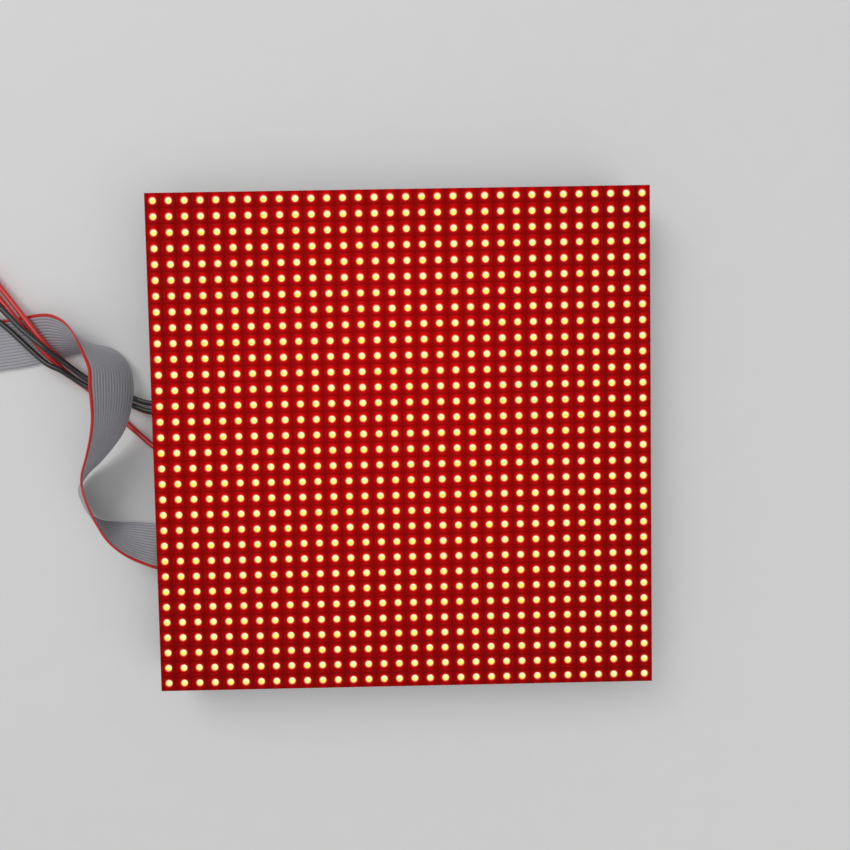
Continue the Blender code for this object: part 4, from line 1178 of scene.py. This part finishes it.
def build_stage(settings):
    """Pale floor, soft lamps, even sky and the camera over the panel, in metres."""
    bm = bmesh.new()
    bmesh.ops.create_grid(bm, x_segments=1, y_segments=1, size=3.0,
                          matrix=Matrix.Translation((0, 0, -0.05 * MM)))
    floor = add_object("floor", mesh_of("floor", bm))
    finish = Finish("pale_floor")
    grain = finish.noise(90.0)
    floor.data.materials.append(finish.surface(
        base_color=finish.mix(grain, shade(settings.floor_color, 0.97), settings.floor_color),
        roughness=0.7 + grain * 0.1,
    ))

    for name, place, size, power in (
        ("key_lamp", (-0.7, 0.9, 1.2), 1.0, settings.lamp_power),
        ("fill_lamp", (0.9, -0.6, 1.1), 1.2, 0.5 * settings.lamp_power),
    ):
        lamp = bpy.data.lights.new(name, "AREA")
        lamp.size = size
        lamp.energy = power
        made = add_object(name, lamp)
        made.location = place
        made.rotation_euler = (-Vector(place)).to_track_quat("-Z", "Y").to_euler()
    world = bpy.data.worlds.new("even_sky")
    world.use_nodes = True
    sky = world.node_tree.nodes["Background"]
    sky.inputs["Color"].default_value = (1.0, 1.0, 1.0, 1.0)
    sky.inputs["Strength"].default_value = settings.sky
    bpy.context.scene.world = world

    camera = bpy.data.cameras.new("camera")
    camera.sensor_width = SENSOR
    camera.lens = settings.lens_length
    camera.clip_start = 0.01
    made = add_object("camera", camera)
    turn = Matrix.Rotation(math.radians(CAMERA_TURN.length), 4, CAMERA_TURN)
    made.matrix_world = Matrix.Translation(CAMERA_PLACE * MM) @ turn
    bpy.context.scene.camera = made
    bpy.context.scene.view_settings.view_transform = "Standard"


# Add-on

def length_field(name, description, default, low, high):
    """A length that a user may change, given here in millimetres."""
    return FloatProperty(name=name, description=description, default=default * MM,
                         min=low * MM, max=high * MM, unit="LENGTH")


def color_field(name, description, default):
    """A colour that a user may change."""
    return FloatVectorProperty(name=name, description=description, default=default,
                               min=0, max=1, subtype="COLOR")


class LedPanelFace(bpy.types.PropertyGroup):
    """Sizes and colours of the lit face."""

    window: length_field("Window", "Side of each window of the mask", 4.0, 3.6, 4.6)
    groove_width: length_field("Groove width", "Width of the groove between pixels", 0.4, 0.1, 1.0)
    groove_depth: length_field("Groove depth", "Depth of the groove between pixels", 0.25, 0.05, 0.8)
    lens: length_field("Lens", "Diameter of the round lit lens", 2.8, 2.0, 3.2)
    # Glow is painted light: the packages' light painted as emission on the mask, packages and board front
    glow_color: color_field("Glow", "Light of the packages on what is round them", (0.92, 0.004, 0.005))
    rim_color: color_field("Rim", "Light at the rim of the lens", (0.80, 0.21, 0.09))
    core_color: color_field("Core", "Light of the lens at its top", (1.0, 0.97, 0.62))
    heart_color: color_field("Heart", "Light of the lens below its middle", (1.0, 0.91, 0.06))
    board_color: color_field("Board", "Solder mask on the board's back", (0.008, 0.105, 0.035))


class LedPanelLeads(bpy.types.PropertyGroup):
    """Colours of the leads."""

    ribbon_color: color_field("Ribbon", "Grey of the ribbon", (0.33, 0.33, 0.36))
    stripe_color: color_field("Stripe", "Red of the ribbon's first conductor", (0.62, 0.02, 0.02))
    red_color: color_field("Red wire", "Vinyl of the red wires", (0.52, 0.012, 0.012))
    black_color: color_field("Black wire", "Vinyl of the black wires", (0.012, 0.012, 0.013))


class LedPanelStage(bpy.types.PropertyGroup):
    """Light, floor and lens of the picture."""

    floor_color: color_field("Floor", "Colour of the floor", (0.80, 0.80, 0.80))
    lamp_power: FloatProperty(name="Lamp power", description="Power of the key lamp",
                              default=9.0, min=0, unit="POWER")
    sky: FloatProperty(name="Sky", description="Strength of the even light from all round",
                       default=0.45, min=0)
    lens_length: FloatProperty(name="Lens length", description="Focal length in millimetres",
                               default=27.106, min=10)


class LEDPANEL_OT_face(bpy.types.Operator):
    """Builds the windowed mask and the lit packages"""

    bl_idname = "led_panel.face"
    bl_label = "Lit face"

    def execute(self, context):
        settings = context.scene.led_panel_face
        build_mask(settings)
        build_packages(settings)
        return {"FINISHED"}


class LEDPANEL_OT_board(bpy.types.Operator):
    """Builds the circuit board with its chips and small parts"""

    bl_idname = "led_panel.board"
    bl_label = "Circuit board"

    def execute(self, context):
        build_board(context.scene.led_panel_face)
        build_chips()
        build_small_parts()
        build_cans()
        return {"FINISHED"}


class LEDPANEL_OT_connectors(bpy.types.Operator):
    """Builds the data headers and the power socket"""

    bl_idname = "led_panel.connectors"
    bl_label = "Connectors"

    def execute(self, context):
        build_headers()
        build_power_socket()
        return {"FINISHED"}


class LEDPANEL_OT_fixings(bpy.types.Operator):
    """Finishes the rear frame and builds its screws and inserts"""

    bl_idname = "led_panel.fixings"
    bl_label = "Frame and fixings"

    def execute(self, context):
        finish_frame()
        build_screws()
        build_inserts()
        return {"FINISHED"}


class LEDPANEL_OT_data_lead(bpy.types.Operator):
    """Builds the ribbon and its two plugs"""

    bl_idname = "led_panel.data_lead"
    bl_label = "Data lead"

    def execute(self, context):
        # The second finish is painted shade for the floors of the contact holes
        finishes = [black_plastic_finish("plug_plastic", 3200.0, (0.024, 0.024, 0.026)),
                    epoxy_finish("contact_hole_shade", (0.006, 0.006, 0.006))]
        build_ribbon_plug("data_plug", finishes)
        far_plug = build_ribbon_plug("far_data_plug", finishes)
        build_ribbon(context.scene.led_panel_leads)
        return {"FINISHED"}


class LEDPANEL_OT_power_lead(bpy.types.Operator):
    """Builds the power plug, the four wires and the fork terminals"""

    bl_idname = "led_panel.power_lead"
    bl_label = "Power lead"

    def execute(self, context):
        settings = context.scene.led_panel_leads
        build_power_plug()
        terminals = {
            "red": build_terminal("red_fork", settings.red_color),
            "black": build_terminal("black_fork", settings.black_color),
        }
        build_wires(settings)
        return {"FINISHED"}


class LEDPANEL_OT_stage(bpy.types.Operator):
    """Builds the floor, the lamps and the camera"""

    bl_idname = "led_panel.stage"
    bl_label = "Stage"

    def execute(self, context):
        build_stage(context.scene.led_panel_stage)
        return {"FINISHED"}


OPERATORS = (LEDPANEL_OT_stage, LEDPANEL_OT_data_lead, LEDPANEL_OT_power_lead, LEDPANEL_OT_face,
             LEDPANEL_OT_board, LEDPANEL_OT_connectors, LEDPANEL_OT_fixings)


class LEDPANEL_PT_main(bpy.types.Panel):
    """Lists the steps that dress the panel"""

    bl_label = "LED Panel"
    bl_idname = "LEDPANEL_PT_main"
    bl_space_type = "VIEW_3D"
    bl_region_type = "UI"
    bl_category = "LED Panel"

    def draw(self, context):
        for operator in OPERATORS:
            self.layout.operator(operator.bl_idname)
        for title in GROUPS:
            group = getattr(context.scene, title)
            box = self.layout.box()
            for name in group.bl_rna.properties.keys():
                if name not in ("rna_type", "name"):
                    box.prop(group, name)


GROUPS = {"led_panel_face": LedPanelFace, "led_panel_leads": LedPanelLeads, "led_panel_stage": LedPanelStage}
CLASSES = (*GROUPS.values(), *OPERATORS, LEDPANEL_PT_main)


def register():
    for item in CLASSES:
        bpy.utils.register_class(item)
    for title, group in GROUPS.items():
        setattr(bpy.types.Scene, title, PointerProperty(type=group))


def unregister():
    for title in GROUPS:
        delattr(bpy.types.Scene, title)
    for item in reversed(CLASSES):
        bpy.utils.unregister_class(item)


def main():
    register()
    bpy.ops.led_panel.stage()
    bpy.ops.led_panel.data_lead()
    bpy.ops.led_panel.power_lead()
    bpy.ops.led_panel.face()
    bpy.ops.led_panel.board()
    bpy.ops.led_panel.connectors()
    bpy.ops.led_panel.fixings()


if __name__ == "__main__":
    main()
